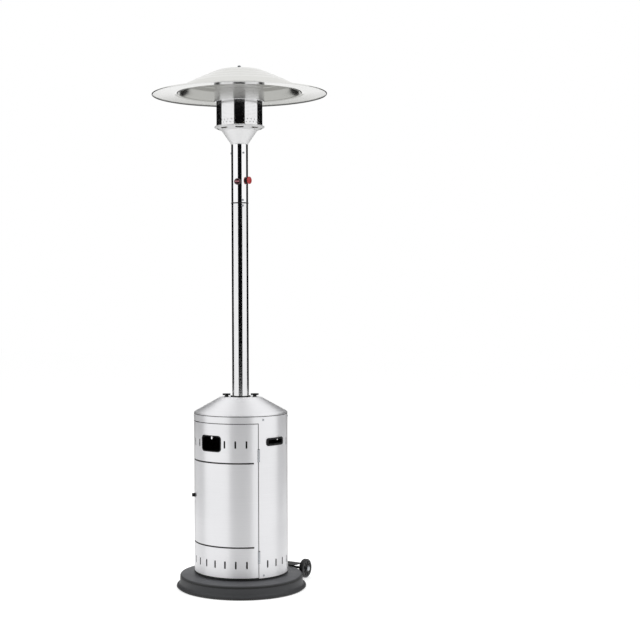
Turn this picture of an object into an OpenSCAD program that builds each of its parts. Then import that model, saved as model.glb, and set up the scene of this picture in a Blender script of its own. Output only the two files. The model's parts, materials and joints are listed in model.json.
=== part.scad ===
// Mushroom patio heater with a gas bottle housing and a mast that lowers into it.
// Millimetres, +Z up, origin on the floor under the mast. Angles round the mast are
// counted from the door's centre, which faces -Y, towards +X.

/* [Base] */
// Radius of the base above its flared foot
base_upper_r = 258; // [245:1:280]
// How far the flared foot stands out
base_flare = 14; // [8:1:20]
// Height of the base's rounded upper edge
base_edge_h = 54; // [46:1:62]
// Depth of the groove under the base's rounded edge
base_groove = 1.8; // [1:0.1:2]
// Wall of the base cover
base_wall = 3.5; // [2.5:0.1:5]
// Height of the ledge that the housing stands on
ledge_h = 70; // [66:1:80]
// How far the ledge stands out beyond the housing
ledge_reach = 1.5; // [1:0.5:3]
// How far the base's slope stops outside the housing
shoulder_reach = 10.5; // [8:0.5:16]
// Distance of the inner floor's edge inside the housing
plateau_inset = 18.5; // [16:0.5:30]
// Height of the floor inside the housing
plateau_h = 78; // [75:0.5:83]
// Thickness of the steel plate that closes the base
base_plate_t = 4; // [3:0.5:6]
// Radius of the ballast slab
ballast_r = 170; // [140:1:172]
// Thickness of the ballast slab
ballast_t = 22; // [12:1:30]
// Distance of the base plate's screws from the edge of the base
base_screw_inset = 36; // [28:1:40]

/* [Wheels] */
// Radius of a wheel
wheel_r = 40; // [34:1:44]
// Width of a wheel
wheel_w = 22; // [16:1:28]
// Half the distance between the wheels' middles
wheel_x = 149.5; // [146:0.5:160]
// Distance of the axle behind the base
axle_reach = 17.5; // [16:0.5:30]
// Height of the wheels above the floor while the heater stands
wheel_lift = 1; // [0.5:0.5:4]
// Radius of the axle
axle_r = 5; // [4:0.5:6]
// Thickness of the wheel bracket's steel
bracket_t = 3; // [2:0.5:5]

/* [Housing] */
// Outer radius of the housing
shell_r = 195.5; // [192:0.5:200]
// Thickness of the housing's sheet steel
sheet_t = 1.2; // [0.8:0.1:1.5]
// Height of the housing's shell
shell_h = 661; // [640:1:700]
// Angle that the door covers
door_angle = 110.2; // [106:0.1:114]
// Height of the shell above the door
lintel_h = 32; // [30:1:60]
// Height of the door's lower edge above the ledge
door_lift = 3; // [1:0.5:6]
// Gap round the door
door_gap = 3; // [1:0.1:4]
// Number of ventilation slots round the housing
slot_count = 27; // [21:2:31]
// Width of a ventilation slot
slot_w = 7; // [5:0.5:9]
// Length of a ventilation slot
slot_l = 31; // [24:1:34]
// Height of the lower slots' middle above the ledge
slot_low_z = 56; // [46:1:66]
// Drop of the upper slots' middle below the shell's upper edge
slot_high_drop = 114.5; // [110:0.5:140]
// Length of a jamb on the hinge side
hinge_jamb_d = 43; // [25:1:44]
// Length of a jamb on the latch side
latch_jamb_d = 20; // [17:1:30]
// Angle of the side grips from the door's centre
grip_phi = 80; // [78:0.1:95]
// Drop of the side grips' middle below the shell's upper edge
grip_drop = 107; // [95:0.5:130]
// Width of a side grip's cut-out
grip_w = 91; // [80:1:104]
// Height of a side grip's cut-out
grip_h = 24; // [22:1:36]
// Rim of a side grip round its cut-out
grip_rim = 4; // [3:0.5:6]
// How far a side grip stands out from the shell
grip_proud = 3; // [2:0.5:5]

/* [Door] */
// Angle of the window's middle
window_phi = -6.1; // [-10:0.1:0]
// Width of the window
window_w = 97; // [90:1:116]
// Height of the window
window_h = 62.5; // [58:0.5:76]
// Drop of the window's middle below the shell's upper edge
window_drop = 113; // [108:0.5:130]
// Width of the window's edging
trim_w = 4; // [3:0.5:6]
// Height of the lower pressed bead above the ledge
bead_low_z = 127; // [118:1:140]
// Drop of the upper pressed bead below the shell's upper edge
bead_high_drop = 191; // [188:1:220]
// Half the angle that a bead covers
bead_half_angle = 49; // [40:1:50]
// Depth of a pressed bead
bead_depth = 2.4; // [1.5:0.1:3]
// Length of a hinge
hinge_l = 48; // [36:1:60]
// Height of the lower hinge's middle above the ledge
hinge_low_z = 86; // [80:1:95]
// Drop of the upper hinge's middle below the shell's upper edge
hinge_high_drop = 160; // [150:1:162]
// Radius of a hinge knuckle
knuckle_r = 4.2; // [3.8:0.1:4.6]
// Radius of a hinge pin
hinge_pin_r = 2.4; // [2:0.1:2.6]
// Angle of the latch knob
latch_phi = -47; // [-48:0.1:-44]
// Height of the latch knob above the ledge
latch_z = 320; // [260:1:360]
// Radius of the latch knob
latch_r = 8; // [6:0.5:10]
// Depth of the latch knob
latch_d = 12; // [9:0.5:16]

/* [Housing top] */
// Height of the sloping top
top_h = 66; // [50:1:80]
// Radius of the flat on the top
top_flat_r = 82; // [78:1:100]
// Thickness of the plate under the top that takes the mast
mast_plate_t = 3; // [2:0.5:5]
// Outer radius of the black guide collar
collar_r = 42; // [39:0.5:43]
// Thickness of the guide collar above the top
collar_t = 5; // [4:0.5:5.5]
// Distance of the wing screws from the mast's axis
wing_r = 59; // [58:0.5:61]
// Width of a wing screw's head
wing_w = 33; // [24:1:33]
// Radius of a wing screw's thread
wing_thread_r = 4; // [3:0.5:5]

/* [Mast] */
// Outer radius of the mast
mast_r = 35; // [32:0.5:36]
// Wall of the mast's tubes
mast_wall = 1.2; // [1:0.1:1.5]
// Length of the lower mast tube
mast_l = 814; // [760:1:860]
// Radius of the flange at the mast's foot
foot_r = 75; // [70:1:78]
// Thickness of the flange at the mast's foot
foot_t = 3; // [2:0.5:5]
// Height of the black ring between the two tubes
trim_ring_h = 5; // [3:0.5:8]
// Length of the upper, control tube
control_l = 241; // [220:1:280]
// Length of the sleeve that joins the tubes, each way
sleeve_l = 50; // [30:1:60]

/* [Controls] */
// Height of the controls above the lower end of the control tube
control_z = 85; // [80:1:100]
// Angle of the control knob
knob_phi = 21; // [18:1:28]
// Radius of the control knob
knob_r = 14; // [11:0.5:15]
// Depth of the control knob
knob_d = 14; // [12:0.5:18]
// How far the control knob can be pushed in
knob_push = 4; // [2:0.5:4.5]
// Radius of the valve stem
stem_r = 4; // [3:0.5:5]
// Angle of the igniter button
igniter_phi = 88.3; // [82:0.1:100]
// Height of the igniter above the control knob's middle
igniter_rise = 6; // [0:0.5:10]
// Radius of the igniter button
igniter_r = 15.5; // [13:0.5:17]
// How far the igniter button can be pushed in
igniter_push = 6; // [3:0.5:7]
// Radius of the gas pipe
pipe_r = 4; // [3:0.5:5]

/* [Heater head] */
// Height of the funnel that carries the head
funnel_h = 58; // [50:1:75]
// Radius of the funnel at its top
funnel_r = 74; // [66:1:80]
// Height of the sloping air ring above the funnel
air_ring_h = 15.5; // [14:0.5:24]
// Radius of the air ring's rim
air_ring_r = 104; // [100:1:110]
// Number of air slots
air_slot_count = 8; // [6:1:9]
// Length of an air slot
air_slot_l = 34; // [24:1:40]
// Radius of the glowing screen
screen_r = 96; // [90:1:98]
// Height of the glowing screen
screen_h = 109.5; // [85:0.5:120]
// Thickness of the head's sheet steel
head_t = 1; // [0.8:0.1:1.2]
// Radius of the hood ring above the screen
hood_r = 104.5; // [103:0.5:110]
// Height of the hood ring
hood_h = 47; // [40:1:60]
// Radius of the hood's cap
cap_r = 100; // [95:0.5:101]
// Height of the hood's cap
cap_h = 14; // [10:1:24]
// Radius of the burner
burner_r = 62; // [50:1:70]

/* [Reflector] */
// Radius of the reflector
reflector_r = 365; // [350:1:420]
// Drop of the reflector's rim below the hood's cap
reflector_drop = 32.5; // [20:0.5:40]
// Radius of the reflector's pressed ridge
ridge_r = 262; // [250:1:275]
// Rise of the flat outer ring to the ridge
ridge_rise = 7; // [4:1:12]
// Rise of the reflector's middle above its rim
reflector_h = 112; // [105:1:125]
// Radius of the reflector's flat middle
crown_r = 96; // [90:1:110]
// Thickness of the reflector's sheet
reflector_t = 1; // [0.8:0.1:1.5]
// Distance of the reflector's studs from the axis
stud_r = 62; // [50:1:75]

/* [Fits] */
// Gap between pieces of two bodies that face each other
fit_gap = 0.3; // [0.3:0.05:0.5]
// Radial clearance of a pin that turns in a bore
run_gap = 0.05; // [0.03:0.01:0.08]
// Radial clearance between fixed pieces that fit into each other
seat_gap = 0.05; // [0.03:0.01:0.1]
// Gap between curved sheet and a moulding that grips it
skin_gap = 0.15; // [0.1:0.05:0.3]

/* [Hidden] */
$fn = 96;

// Heights of the stack, from the floor up
door_z = ledge_h + door_lift;
door_h = shell_h - door_lift - lintel_h;
slot_high_z = shell_h - slot_high_drop;
window_z = shell_h - window_drop;
bead_high_z = shell_h - bead_high_drop;
grip_z = shell_h - grip_drop;
hinge_high_z = shell_h - hinge_high_drop;
shell_top = ledge_h + shell_h;
top_z = shell_top + top_h;
mast_plate_z = top_z - sheet_t - mast_plate_t;
foot_top = mast_plate_z - fit_gap;
mast_z = foot_top - foot_t;
joint_z = mast_z + mast_l;
control_z0 = joint_z + trim_ring_h;
head_z = control_z0 + control_l;
funnel_top = head_z + funnel_h;
tray_z = funnel_top + air_ring_h;
screen_top = tray_z + screen_h;
hood_z = screen_top - head_t * 6;
cap_z = hood_z + hood_h;
cap_top = cap_z + cap_h;
rim_z = cap_top - reflector_drop;

// Radii and distances that follow from the driving sizes
base_r = base_upper_r + base_flare;
ledge_r = shell_r + ledge_reach;
recess_r = shell_r - 6;
shoulder_r = shell_r + shoulder_reach;
plateau_r = shell_r - plateau_inset;
base_screw_r = base_upper_r - base_screw_inset;
wheel_y = base_upper_r + axle_reach;
shell_in = shell_r - sheet_t;
mast_in = mast_r - mast_wall;
door_half = door_angle / 2;
slot_pitch = 360 / slot_count;
axle_z = wheel_r + wheel_lift;
gap_angle = asin(door_gap / shell_r);
hinge_axis_r = shell_r + 1.5;
knob_z = control_z0 + control_z;
bead_half_w = 3.2;

// Base: places of its screws, the wheel bracket and the axle
base_screw_bore = 2.5;
bracket_screw_x = 70;
bracket_z = base_edge_h + 8;
bracket_y0 = shoulder_r;
bracket_screw_y = (bracket_y0 + base_upper_r) / 2 - 6;
ear_x = wheel_x - wheel_w / 2 - 6;
axle_half = wheel_x + wheel_w / 2 + 5;

// Screws of the housing: angles and the two heights above the ledge
shell_screw_phis = [door_half + 6.2, 122, 180, -122, -door_half - 6.2];
shell_screw_low = 11;
shell_screw_high = shell_h - 15;
shell_screw_r = 2;

// Brackets that hold the shell down: leg on the ledge, height and width
foot_d = 13;
foot_h = 20;
foot_w = 22;

// Slot numbers, counted from the door's centre: a slot is left out where the door's edge,
// the window or a side grip takes its place
function degrees(w) = asin(w / shell_r);
slots_half = floor(slot_count / 2);
slot_keep = degrees(slot_w / 2 + 10);
door_slots_low = [for (k = [-slots_half : slots_half])
    if (abs(k * slot_pitch) < door_half - 2 * slot_keep) k];
door_slots_high = [for (k = door_slots_low)
    if (abs(k * slot_pitch - window_phi) > degrees(window_w / 2) + slot_keep / 3) k];
shell_slots_low = [for (k = [-slots_half : slots_half])
    if (abs(k * slot_pitch) > door_half + slot_keep) k];
shell_slots_high = [for (k = shell_slots_low)
    if (abs(k * slot_pitch) > grip_phi + degrees(grip_w / 2) + slot_keep / 3) k];

// Jambs, hinges and latch: gaps, sheet thicknesses and depths behind the shell's inner face
jamb_gap = 2;
knuckle_l = hinge_l / 3;
leaf_t = 1.6;
leaf_w = 26;
hinge_screw_r = 1.6;
cam_y = 11;
cam_t = 2;
strike_l = 9;
strike_t = 1.5;
latch_angle = door_half + latch_phi;
cam_l = (shell_in - cam_y) * sin(latch_angle) - 2;
strike_y = shell_in - (shell_in - cam_y) * cos(latch_angle) - cam_l * sin(latch_angle) - strike_t - fit_gap;
spindle_r = 4;

// Housing top, its bore and the wing screws
top_rim = 6;
top_bore_r = mast_r + 3;
wing_phis = [-56.7, 123.3];
wing_head_z = top_z + collar_t + 1.5;

// Screws of the mast: angles, heights from the tubes' ends and shank radius
joint_screw_phi = 54;
joint_screw_drop = 9;
head_screw_phis = [-59, 61, 181];
head_screw_drop = 36;
tube_screw_r = 2;

// Valve and igniter, as distances from the mast's axis and heights
neck_r = 7;
valve_half = 9.5;
valve_front = 22;
valve_top = knob_z + 26;
valve_low = knob_z - 34;
knob_back = mast_r + 4.5 + knob_push;
stem_grip = 4;
stem_end = knob_back + stem_grip;
igniter_z = knob_z + igniter_rise;
igniter_seat = mast_r + 5;

// Head: the angle of the first air slot, which a stud lines up with
air_slot_phi = 33.3;
burner_z = tray_z + 34;

// Reflector: the steep step inside the ridge, the slope, the rolled edge and the nuts
step_top_r = ridge_r - 36;
step_rise = ridge_rise + 36;
slope_rise = reflector_h - 11;
roll_r = 2.5;
stud_thread_r = 4;
nut_r = 7.5;

// Places the children at an angle round the mast, at a radius and a height.
// There X runs round the mast, Y points inwards and Z up.
module at_phi(phi, r, z = 0) {
    rotate([0, 0, phi])
        translate([0, -r, z])
            children();
}

// A tube, or a ring, round the mast's axis
module tube(r_out, r_in, z0, h) {
    translate([0, 0, z0])
        difference() {
            cylinder(r = r_out, h = h);
            translate([0, 0, -1])
                cylinder(r = r_in, h = h + 2);
        }
}

// A part of a ring between two angles
module sector(r_out, r_in, phi0, phi1, z0, h) {
    rotate([0, 0, phi0 - 90])
        rotate_extrude(angle = phi1 - phi0)
            translate([r_in, z0])
                square([r_out - r_in, h]);
}

// A rectangle with round corners
module soft_rect(w, h, r) {
    square([w - 2 * r, h], center = true);
    square([w, h - 2 * r], center = true);
    for (x = [-1, 1], y = [-1, 1])
        translate([x * (w / 2 - r), y * (h / 2 - r)])
            circle(r = r);
}

// Stands a flat outline on the mast's radius and gives it a depth from r0 to r1
module radial(phi, z, r0, r1) {
    at_phi(phi, r0, z)
        rotate([90, 0, 0])
            linear_extrude(height = r1 - r0)
                children();
}

// A round pin along a radius
module radial_pin(phi, z, r0, r1, r) {
    at_phi(phi, r0, z)
        rotate([90, 0, 0])
            cylinder(r = r, h = r1 - r0);
}

// Cuts for the slots k of one row through the housing's sheet
module slots(ks, z) {
    for (k = ks)
        radial(k * slot_pitch, z, shell_in - 5, shell_r + 5)
            soft_rect(slot_w, slot_l, slot_w / 2 - 0.01);
}

// A cylinder head screw seen from outside: domed head and shank, along a radius
module radial_screw(phi, z, r_seat, shank_l, shank_r, head_r, head_h) {
    radial_pin(phi, z, r_seat - shank_l, r_seat + head_h / 2, shank_r);
    at_phi(phi, r_seat, z)
        rotate([90, 0, 0])
            rotate_extrude()
                polygon([[0, 0], [head_r, 0], [head_r, head_h * 0.35], [head_r * 0.8, head_h * 0.8],
                         [head_r * 0.4, head_h], [0, head_h]]);
}

// BASE

// The groove under the base's rounded edge, and the lip of the ledge over a shadow gap
edge_groove = [[base_upper_r - 0.7, base_edge_h - 11], [base_upper_r - base_groove, base_edge_h - 10.5],
               [base_upper_r - base_groove, base_edge_h - 8.5], [base_upper_r - 0.9, base_edge_h - 8]];
ledge_lip = [[recess_r, ledge_h - 2.5], [ledge_r, ledge_h - 1.5], [ledge_r, ledge_h - 0.5],
             [ledge_r - 0.5, ledge_h]];

// Outline of the base's moulding, moved inwards by d: flared foot, hollow side,
// rounded edge, sloping top, ledge for the shell and the floor of the housing
function base_outline(d) = concat(
    [[0, d > 0 ? -1 : 0], [base_r - 6 - d, d > 0 ? -1 : 0], [base_r - d, 5], [base_r - 1 - d, 9]],
    [for (t = [0 : 15 : 90])
        [base_upper_r - d + (base_r - base_upper_r - 2) * (1 - sin(t)), 10 + (14 - d) * (1 - cos(t))]],
    d > 0 ? [] : edge_groove,
    [for (t = [0 : 15 : 90])
        [base_upper_r - 7 - d + 6 * cos(t), base_edge_h - 6 - d + 6 * sin(t)]],
    [[shoulder_r - d, base_edge_h + 6 - d], [recess_r - d, base_edge_h + 6.5 - d]],
    d > 0 ? [[recess_r - d, ledge_h - d]] : ledge_lip,
    [[plateau_r - d, ledge_h - d], [plateau_r - d, plateau_h - 2 - d],
     [plateau_r - 2 - d, plateau_h - d], [0, plateau_h - d]]);

// Where a boss under the cover carries a base plate screw
module base_screw_places() {
    for (a = [45 : 90 : 315])
        at_phi(a, base_screw_r)
            children();
}

// Places of the bracket's two screws, on bosses behind the housing
module bracket_screw_places() {
    for (x = [-bracket_screw_x, bracket_screw_x])
        translate([x, bracket_screw_y, 0])
            children();
}

module base_cover() {
    color("dimgray")
        difference() {
            union() {
                difference() {
                    rotate_extrude()
                        polygon(base_outline(0));
                    rotate_extrude()
                        polygon(base_outline(base_wall));
                }
                intersection() {
                    base_screw_places()
                        translate([0, 0, base_plate_t])
                            cylinder(r = 8, h = plateau_h);
                    rotate_extrude()
                        polygon(base_outline(base_wall / 2));
                }
                bracket_screw_places()
                    translate([0, 0, base_edge_h - 8])
                        cylinder(r = 9, h = bracket_z - base_edge_h + 8);
            }
            base_screw_places()
                translate([0, 0, -1])
                    cylinder(r = base_screw_bore, h = 25);
            bracket_screw_places()
                translate([0, 0, base_edge_h - 12])
                    cylinder(r = base_screw_bore, h = 60);
        }
}

module base_plate() {
    color("silver")
        difference() {
            cylinder(r = base_r - 6 - base_wall - 0.5, h = base_plate_t);
            base_screw_places() {
                translate([0, 0, -1])
                    cylinder(r = 3, h = base_plate_t + 2);
                translate([0, 0, -0.01])
                    cylinder(r1 = 6.2, r2 = 3, h = base_plate_t * 0.8);
            }
        }
}

module ballast_slab() {
    color("gray")
        tube(ballast_r, 22, base_plate_t, ballast_t);
}

module base_screws() {
    color("silver")
        base_screw_places()
            rotate_extrude()
                polygon([[0, 0.3], [5.8, 0.3], [base_screw_bore - seat_gap, base_plate_t * 0.8 - 0.1],
                         [base_screw_bore - seat_gap, 20], [0, 21.5]]);
}

// WHEELS

// The steel bracket on the base, with an ear for the axle at each end
module wheel_bracket() {
    color("dimgray")
        difference() {
            union() {
                translate([-ear_x, bracket_y0, bracket_z])
                    cube([2 * ear_x, base_upper_r + 8 - bracket_y0, bracket_t]);
                for (s = [-1, 1])
                    translate([s * (ear_x - bracket_t / 2) - bracket_t / 2, 0, 0])
                        rotate([90, 0, 90])
                            linear_extrude(height = bracket_t) {
                                polygon([[bracket_y0 + 24, bracket_z], [wheel_y - 13, bracket_z],
                                         [wheel_y + 6, axle_z + 12], [wheel_y, axle_z - 11],
                                         [wheel_y - 12, axle_z + 2], [base_upper_r + 3, bracket_z - 8],
                                         [base_upper_r + 3, bracket_z - 1],
                                         [bracket_y0 + 24, bracket_z - 1]]);
                                polygon([[bracket_y0 + 24, bracket_z - 1], [wheel_y - 13, bracket_z - 1],
                                         [wheel_y - 13, bracket_z + bracket_t],
                                         [bracket_y0 + 24, bracket_z + bracket_t]]);
                                translate([wheel_y, axle_z])
                                    circle(r = 12);
                            }
            }
            bracket_screw_places()
                translate([0, 0, bracket_z - 1])
                    cylinder(r = 3, h = bracket_t + 2);
            translate([-ear_x - 5, wheel_y, axle_z])
                rotate([0, 90, 0])
                    cylinder(r = axle_r + seat_gap, h = 2 * ear_x + 10);
        }
}

module bracket_screws() {
    color("silver")
        bracket_screw_places()
            translate([0, 0, bracket_z + bracket_t])
                rotate_extrude()
                    polygon([[0, -20], [base_screw_bore - seat_gap, -20],
                             [base_screw_bore - seat_gap, 0], [5.5, 0], [5.5, 1.6], [3.5, 3.2], [0, 3.6]]);
}

module wheel_axle() {
    color("silver")
        translate([-axle_half, wheel_y, axle_z])
            rotate([0, 90, 0])
                cylinder(r = axle_r, h = 2 * axle_half);
}

// Push-on caps with a domed end that keep the wheels on the axle
module axle_caps() {
    color("silver")
        for (s = [-1, 1])
            translate([s * (wheel_x + wheel_w / 2 + 1), wheel_y, axle_z])
                rotate([0, s * 90, 0])
                    rotate_extrude()
                        polygon([[axle_r + seat_gap, 0], [10, 0], [10, 4], [9, 5.5], [6.5, 7], [3, 8], [0, 8.2],
                                 [0, 4 + seat_gap], [axle_r + seat_gap, 4 + seat_gap]]);
}

// A solid wheel: rounded tread with two grooves, dished sides and a hub
module wheel(x) {
    half = wheel_w / 2;
    color("dimgray")
        translate([x, wheel_y, axle_z])
            rotate([0, 90, 0])
                rotate_extrude()
                    polygon([[axle_r + run_gap, -half], [14, -half], [15.5, -half + 4], [wheel_r - 11, -half + 4],
                             [wheel_r - 9, -half + 1], [wheel_r - 4, -half + 1], [wheel_r - 1, -half + 3],
                             [wheel_r, -half + 6], [wheel_r, -2.5], [wheel_r - 1.2, -1.5],
                             [wheel_r - 1.2, 1.5], [wheel_r, 2.5], [wheel_r, half - 6],
                             [wheel_r - 1, half - 3], [wheel_r - 4, half - 1], [wheel_r - 9, half - 1],
                             [wheel_r - 11, half - 4], [15.5, half - 4], [14, half], [axle_r + run_gap, half]]);
}

module left_wheel() {
    wheel(-wheel_x);
}

module right_wheel() {
    wheel(wheel_x);
}

// HOUSING

module housing_shell() {
    color("gainsboro")
        difference() {
            tube(shell_r, shell_in, ledge_h, shell_h);
            sector(shell_r + 5, shell_in - 5, -door_half, door_half, ledge_h - 1,
                   door_lift + door_h + door_gap + 1);
            slots(shell_slots_low, ledge_h + slot_low_z);
            slots(shell_slots_high, ledge_h + slot_high_z);
            for (s = [-1, 1])
                radial(s * grip_phi, ledge_h + grip_z, shell_in - 15, shell_r + 15)
                    soft_rect(grip_w, grip_h, 6);
            for (phi = shell_screw_phis, z = [shell_screw_low, shell_screw_high])
                radial_pin(phi, ledge_h + z, shell_in - 5, shell_r + 5, shell_screw_r + 0.3);
            hinge_notches();
        }
}

// Room that the hinge knuckles need in the edges of the shell and the door
module hinge_notches() {
    for (z = [hinge_low_z, hinge_high_z])
        at_phi(door_half, hinge_axis_r, ledge_h + z - hinge_l / 2 - 2.5)
            cylinder(r = knuckle_r + 1, h = hinge_l + 5);
}

// Small angle brackets that hold the shell down on the base's ledge
module shell_feet() {
    color("silver")
        for (phi = shell_screw_phis)
            difference() {
                at_phi(phi, shell_in - seat_gap, ledge_h) {
                    intersection() {
                        translate([-foot_w / 2, -3, 0])
                            cube([foot_w, foot_d + 3, foot_h]);
                        translate([0, shell_in - seat_gap, 0])
                            tube(shell_in - seat_gap, shell_in - foot_d, 0, foot_h);
                        union() {
                            translate([-foot_w, -3, 0])
                                cube([foot_w * 2, foot_d + 3, 1.5]);
                            translate([0, shell_in - seat_gap, 0])
                                tube(shell_in - seat_gap, shell_in - 1.8, 0, foot_h);
                        }
                    }
                }
                radial_pin(phi, ledge_h + shell_screw_low, shell_in - 10, shell_r, shell_screw_r + seat_gap);
            }
}

module shell_screws() {
    color("silver")
        for (phi = shell_screw_phis, z = [shell_screw_low, shell_screw_high])
            radial_screw(phi, ledge_h + z, shell_r, 8, shell_screw_r, 4.5, 2);
}

// A jamb: a strip on the shell's inner face with a leg that points at the mast.
// side is 1 at the hinges and -1 at the latch.
module jamb(side, leg) {
    h = door_h + door_lift;
    flange = 18;
    difference() {
        union() {
            at_phi(side * door_half, shell_in - seat_gap, plateau_h + fit_gap)
                translate([side > 0 ? jamb_gap : -jamb_gap - sheet_t, 0.2, 0])
                    cube([sheet_t, leg, ledge_h + h - 2 - plateau_h]);
            sector(shell_in - seat_gap, shell_in - seat_gap - sheet_t,
                   side > 0 ? door_half + asin(jamb_gap / shell_in) : -door_half - asin(flange / shell_in),
                   side > 0 ? door_half + asin(flange / shell_in) : -door_half - asin(jamb_gap / shell_in),
                   ledge_h + 24, h - 26);
        }
        hinge_notches();
        slots(shell_slots_low, ledge_h + slot_low_z);
    }
}

module hinge_jamb() {
    color("silver")
        jamb(1, hinge_jamb_d);
}

module latch_jamb() {
    color("silver")
        jamb(-1, latch_jamb_d);
}

// The plate on the latch jamb that the cam turns behind
module strike_plate() {
    color("silver")
        at_phi(-door_half, shell_in, ledge_h + latch_z - 15) {
            translate([-jamb_gap, strike_y, 0])
                cube([1.2, latch_jamb_d - strike_y, 30]);
            translate([-jamb_gap, strike_y, 0])
                cube([strike_l, strike_t, 30]);
        }
}

// Moulded grips that line the cut-outs: rim outside, sleeve through the sheet, rim inside
module side_grips() {
    color("dimgray")
        for (s = [-1, 1])
            difference() {
                union() {
                    intersection() {
                        tube(shell_r + grip_proud, shell_r + skin_gap, ledge_h, shell_h);
                        radial(s * grip_phi, ledge_h + grip_z, shell_in - 15, shell_r + 15)
                            soft_rect(grip_w + 2 * grip_rim, grip_h + 2 * grip_rim, 6 + grip_rim);
                    }
                    intersection() {
                        tube(shell_r + grip_proud, shell_in - 8, ledge_h, shell_h);
                        radial(s * grip_phi, ledge_h + grip_z, shell_in - 15, shell_r + 15)
                            soft_rect(grip_w - 2 * skin_gap, grip_h - 2 * skin_gap, 6);
                    }
                }
                radial(s * grip_phi, ledge_h + grip_z, shell_in - 15, shell_r + 15)
                    soft_rect(grip_w - 2 * grip_rim, grip_h - 2 * grip_rim + 2, 5);
            }
}

// HOUSING TOP AND MAST SEAT

// The sloping top: an inner flange inside the shell, a rounded shoulder, the slope and a flat
module housing_top() {
    seam = shell_top + 0.3;
    color("gainsboro")
        difference() {
            rotate_extrude()
                polygon(concat(
                    [[shell_in - seat_gap - sheet_t, shell_top - 26], [shell_in - seat_gap, shell_top - 26],
                     [shell_in - seat_gap, seam], [shell_r, seam]],
                    [for (t = [0 : 18 : 72])
                        [shell_r - top_rim + top_rim * cos(t), shell_top + 1 + top_rim * sin(t)]],
                    [[top_flat_r + 6, top_z - 1.6], [top_flat_r, top_z], [top_bore_r, top_z],
                     [top_bore_r, top_z - sheet_t], [top_flat_r, top_z - sheet_t],
                     [top_flat_r + 6, top_z - 1.6 - sheet_t],
                     [shell_r - top_rim, shell_top + top_rim - 0.2],
                     [shell_in - seat_gap - sheet_t, shell_top + 2]]));
            wing_places()
                cylinder(r = wing_thread_r + fit_gap, h = top_z + 10);
            for (phi = shell_screw_phis)
                radial_pin(phi, ledge_h + shell_screw_high, shell_in - 10, shell_r,
                           shell_screw_r + seat_gap);
        }
}

// The steel plate under the top that the mast's flange is drawn up against
module mast_plate() {
    color("silver")
        difference() {
            tube(top_flat_r - 1, mast_r + 3, mast_plate_z, mast_plate_t);
            wing_places()
                cylinder(r = wing_thread_r + fit_gap, h = top_z + 10);
        }
}

// The black collar that guides the mast, with a lip below that holds it in the top
module guide_collar() {
    color("dimgray")
        rotate_extrude()
            polygon([[mast_r + fit_gap, mast_plate_z], [top_bore_r - seat_gap, mast_plate_z],
                     [top_bore_r - seat_gap, top_z], [collar_r, top_z], [collar_r, top_z + collar_t - 1.5],
                     [collar_r - 1.5, top_z + collar_t], [mast_r + fit_gap, top_z + collar_t]]);
}

module wing_places() {
    for (phi = wing_phis)
        at_phi(phi, wing_r)
            children();
}

// A wing screw: thread, round hub, and a flat bar with round ends across the top
module wing_screw(phi) {
    color("dimgray")
        at_phi(phi, wing_r) {
            translate([0, 0, mast_z - 6])
                cylinder(r = wing_thread_r, h = top_z - mast_z + 8);
            translate([0, 0, top_z + fit_gap])
                cylinder(r1 = 9, r2 = 7, h = wing_head_z - top_z);
            translate([0, 0, wing_head_z])
                rotate([0, 0, 90])
                    linear_extrude(height = 7) {
                        square([wing_w - 8, 8], center = true);
                        for (s = [-1, 1])
                            translate([s * (wing_w / 2 - 4), 0])
                                circle(r = 4);
                        circle(r = 7);
                    }
        }
}

module left_wing_screw() {
    wing_screw(wing_phis[0]);
}

module right_wing_screw() {
    wing_screw(wing_phis[1]);
}

// DOOR

// The middle of each hinge at the door's edge; the door and the shell share its pin
module hinge_places() {
    for (z = [hinge_low_z, hinge_high_z])
        at_phi(door_half, hinge_axis_r, ledge_h + z)
            children();
}

// One knuckle of a hinge, its lower end at z
module knuckle(z) {
    translate([0, 0, z])
        cylinder(r = knuckle_r, h = knuckle_l - fit_gap);
}

// Bore for the hinge pin
module pin_bore(gap) {
    translate([0, 0, -hinge_l])
        cylinder(r = hinge_pin_r + gap, h = 2 * hinge_l);
}

// Outer knuckles with a flat leaf that lies on the jamb's leg
module hinge_fixed_leaves() {
    color("silver")
        hinge_places()
            difference() {
                union() {
                    for (z = [-hinge_l / 2, knuckle_l / 2 + fit_gap]) {
                        knuckle(z);
                        translate([jamb_gap - leaf_t, 0, z])
                            cube([leaf_t, leaf_w, knuckle_l - fit_gap]);
                    }
                    translate([jamb_gap - leaf_t, knuckle_r + 1.5, -hinge_l / 2])
                        cube([leaf_t, leaf_w - knuckle_r - 1.5, hinge_l]);
                }
                pin_bore(seat_gap);
            }
}

module hinge_pins() {
    color("silver")
        hinge_places()
            translate([0, 0, -hinge_l / 2 - 1.5]) {
                cylinder(r = hinge_pin_r, h = hinge_l + 2.5);
                cylinder(r = hinge_pin_r + 1, h = 1.5);
            }
}

// Middle knuckles with a leaf that lies on the door's inner face
module hinge_door_leaves() {
    color("silver")
        difference() {
            union() {
                hinge_places()
                    knuckle(-knuckle_l / 2 + fit_gap / 2);
                for (z = [hinge_low_z, hinge_high_z])
                    difference() {
                        sector(shell_in - seat_gap, shell_in - seat_gap - leaf_t,
                               door_half - asin(leaf_w / shell_in), door_half - asin(0.5 / shell_in),
                               ledge_h + z - hinge_l / 2, hinge_l);
                        for (z0 = [-hinge_l / 2 - 1, knuckle_l / 2 - fit_gap / 2])
                            sector(shell_r, shell_in - 10, door_half - asin((knuckle_r + 1.5) / shell_in),
                                   door_half + 2, ledge_h + z + z0,
                                   hinge_l / 2 + 1 - knuckle_l / 2 + fit_gap / 2);
                    }
            }
            hinge_places()
                pin_bore(run_gap);
            hinge_screw_places()
                cylinder(r = hinge_screw_r + seat_gap, h = 20, center = true);
        }
}

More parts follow.
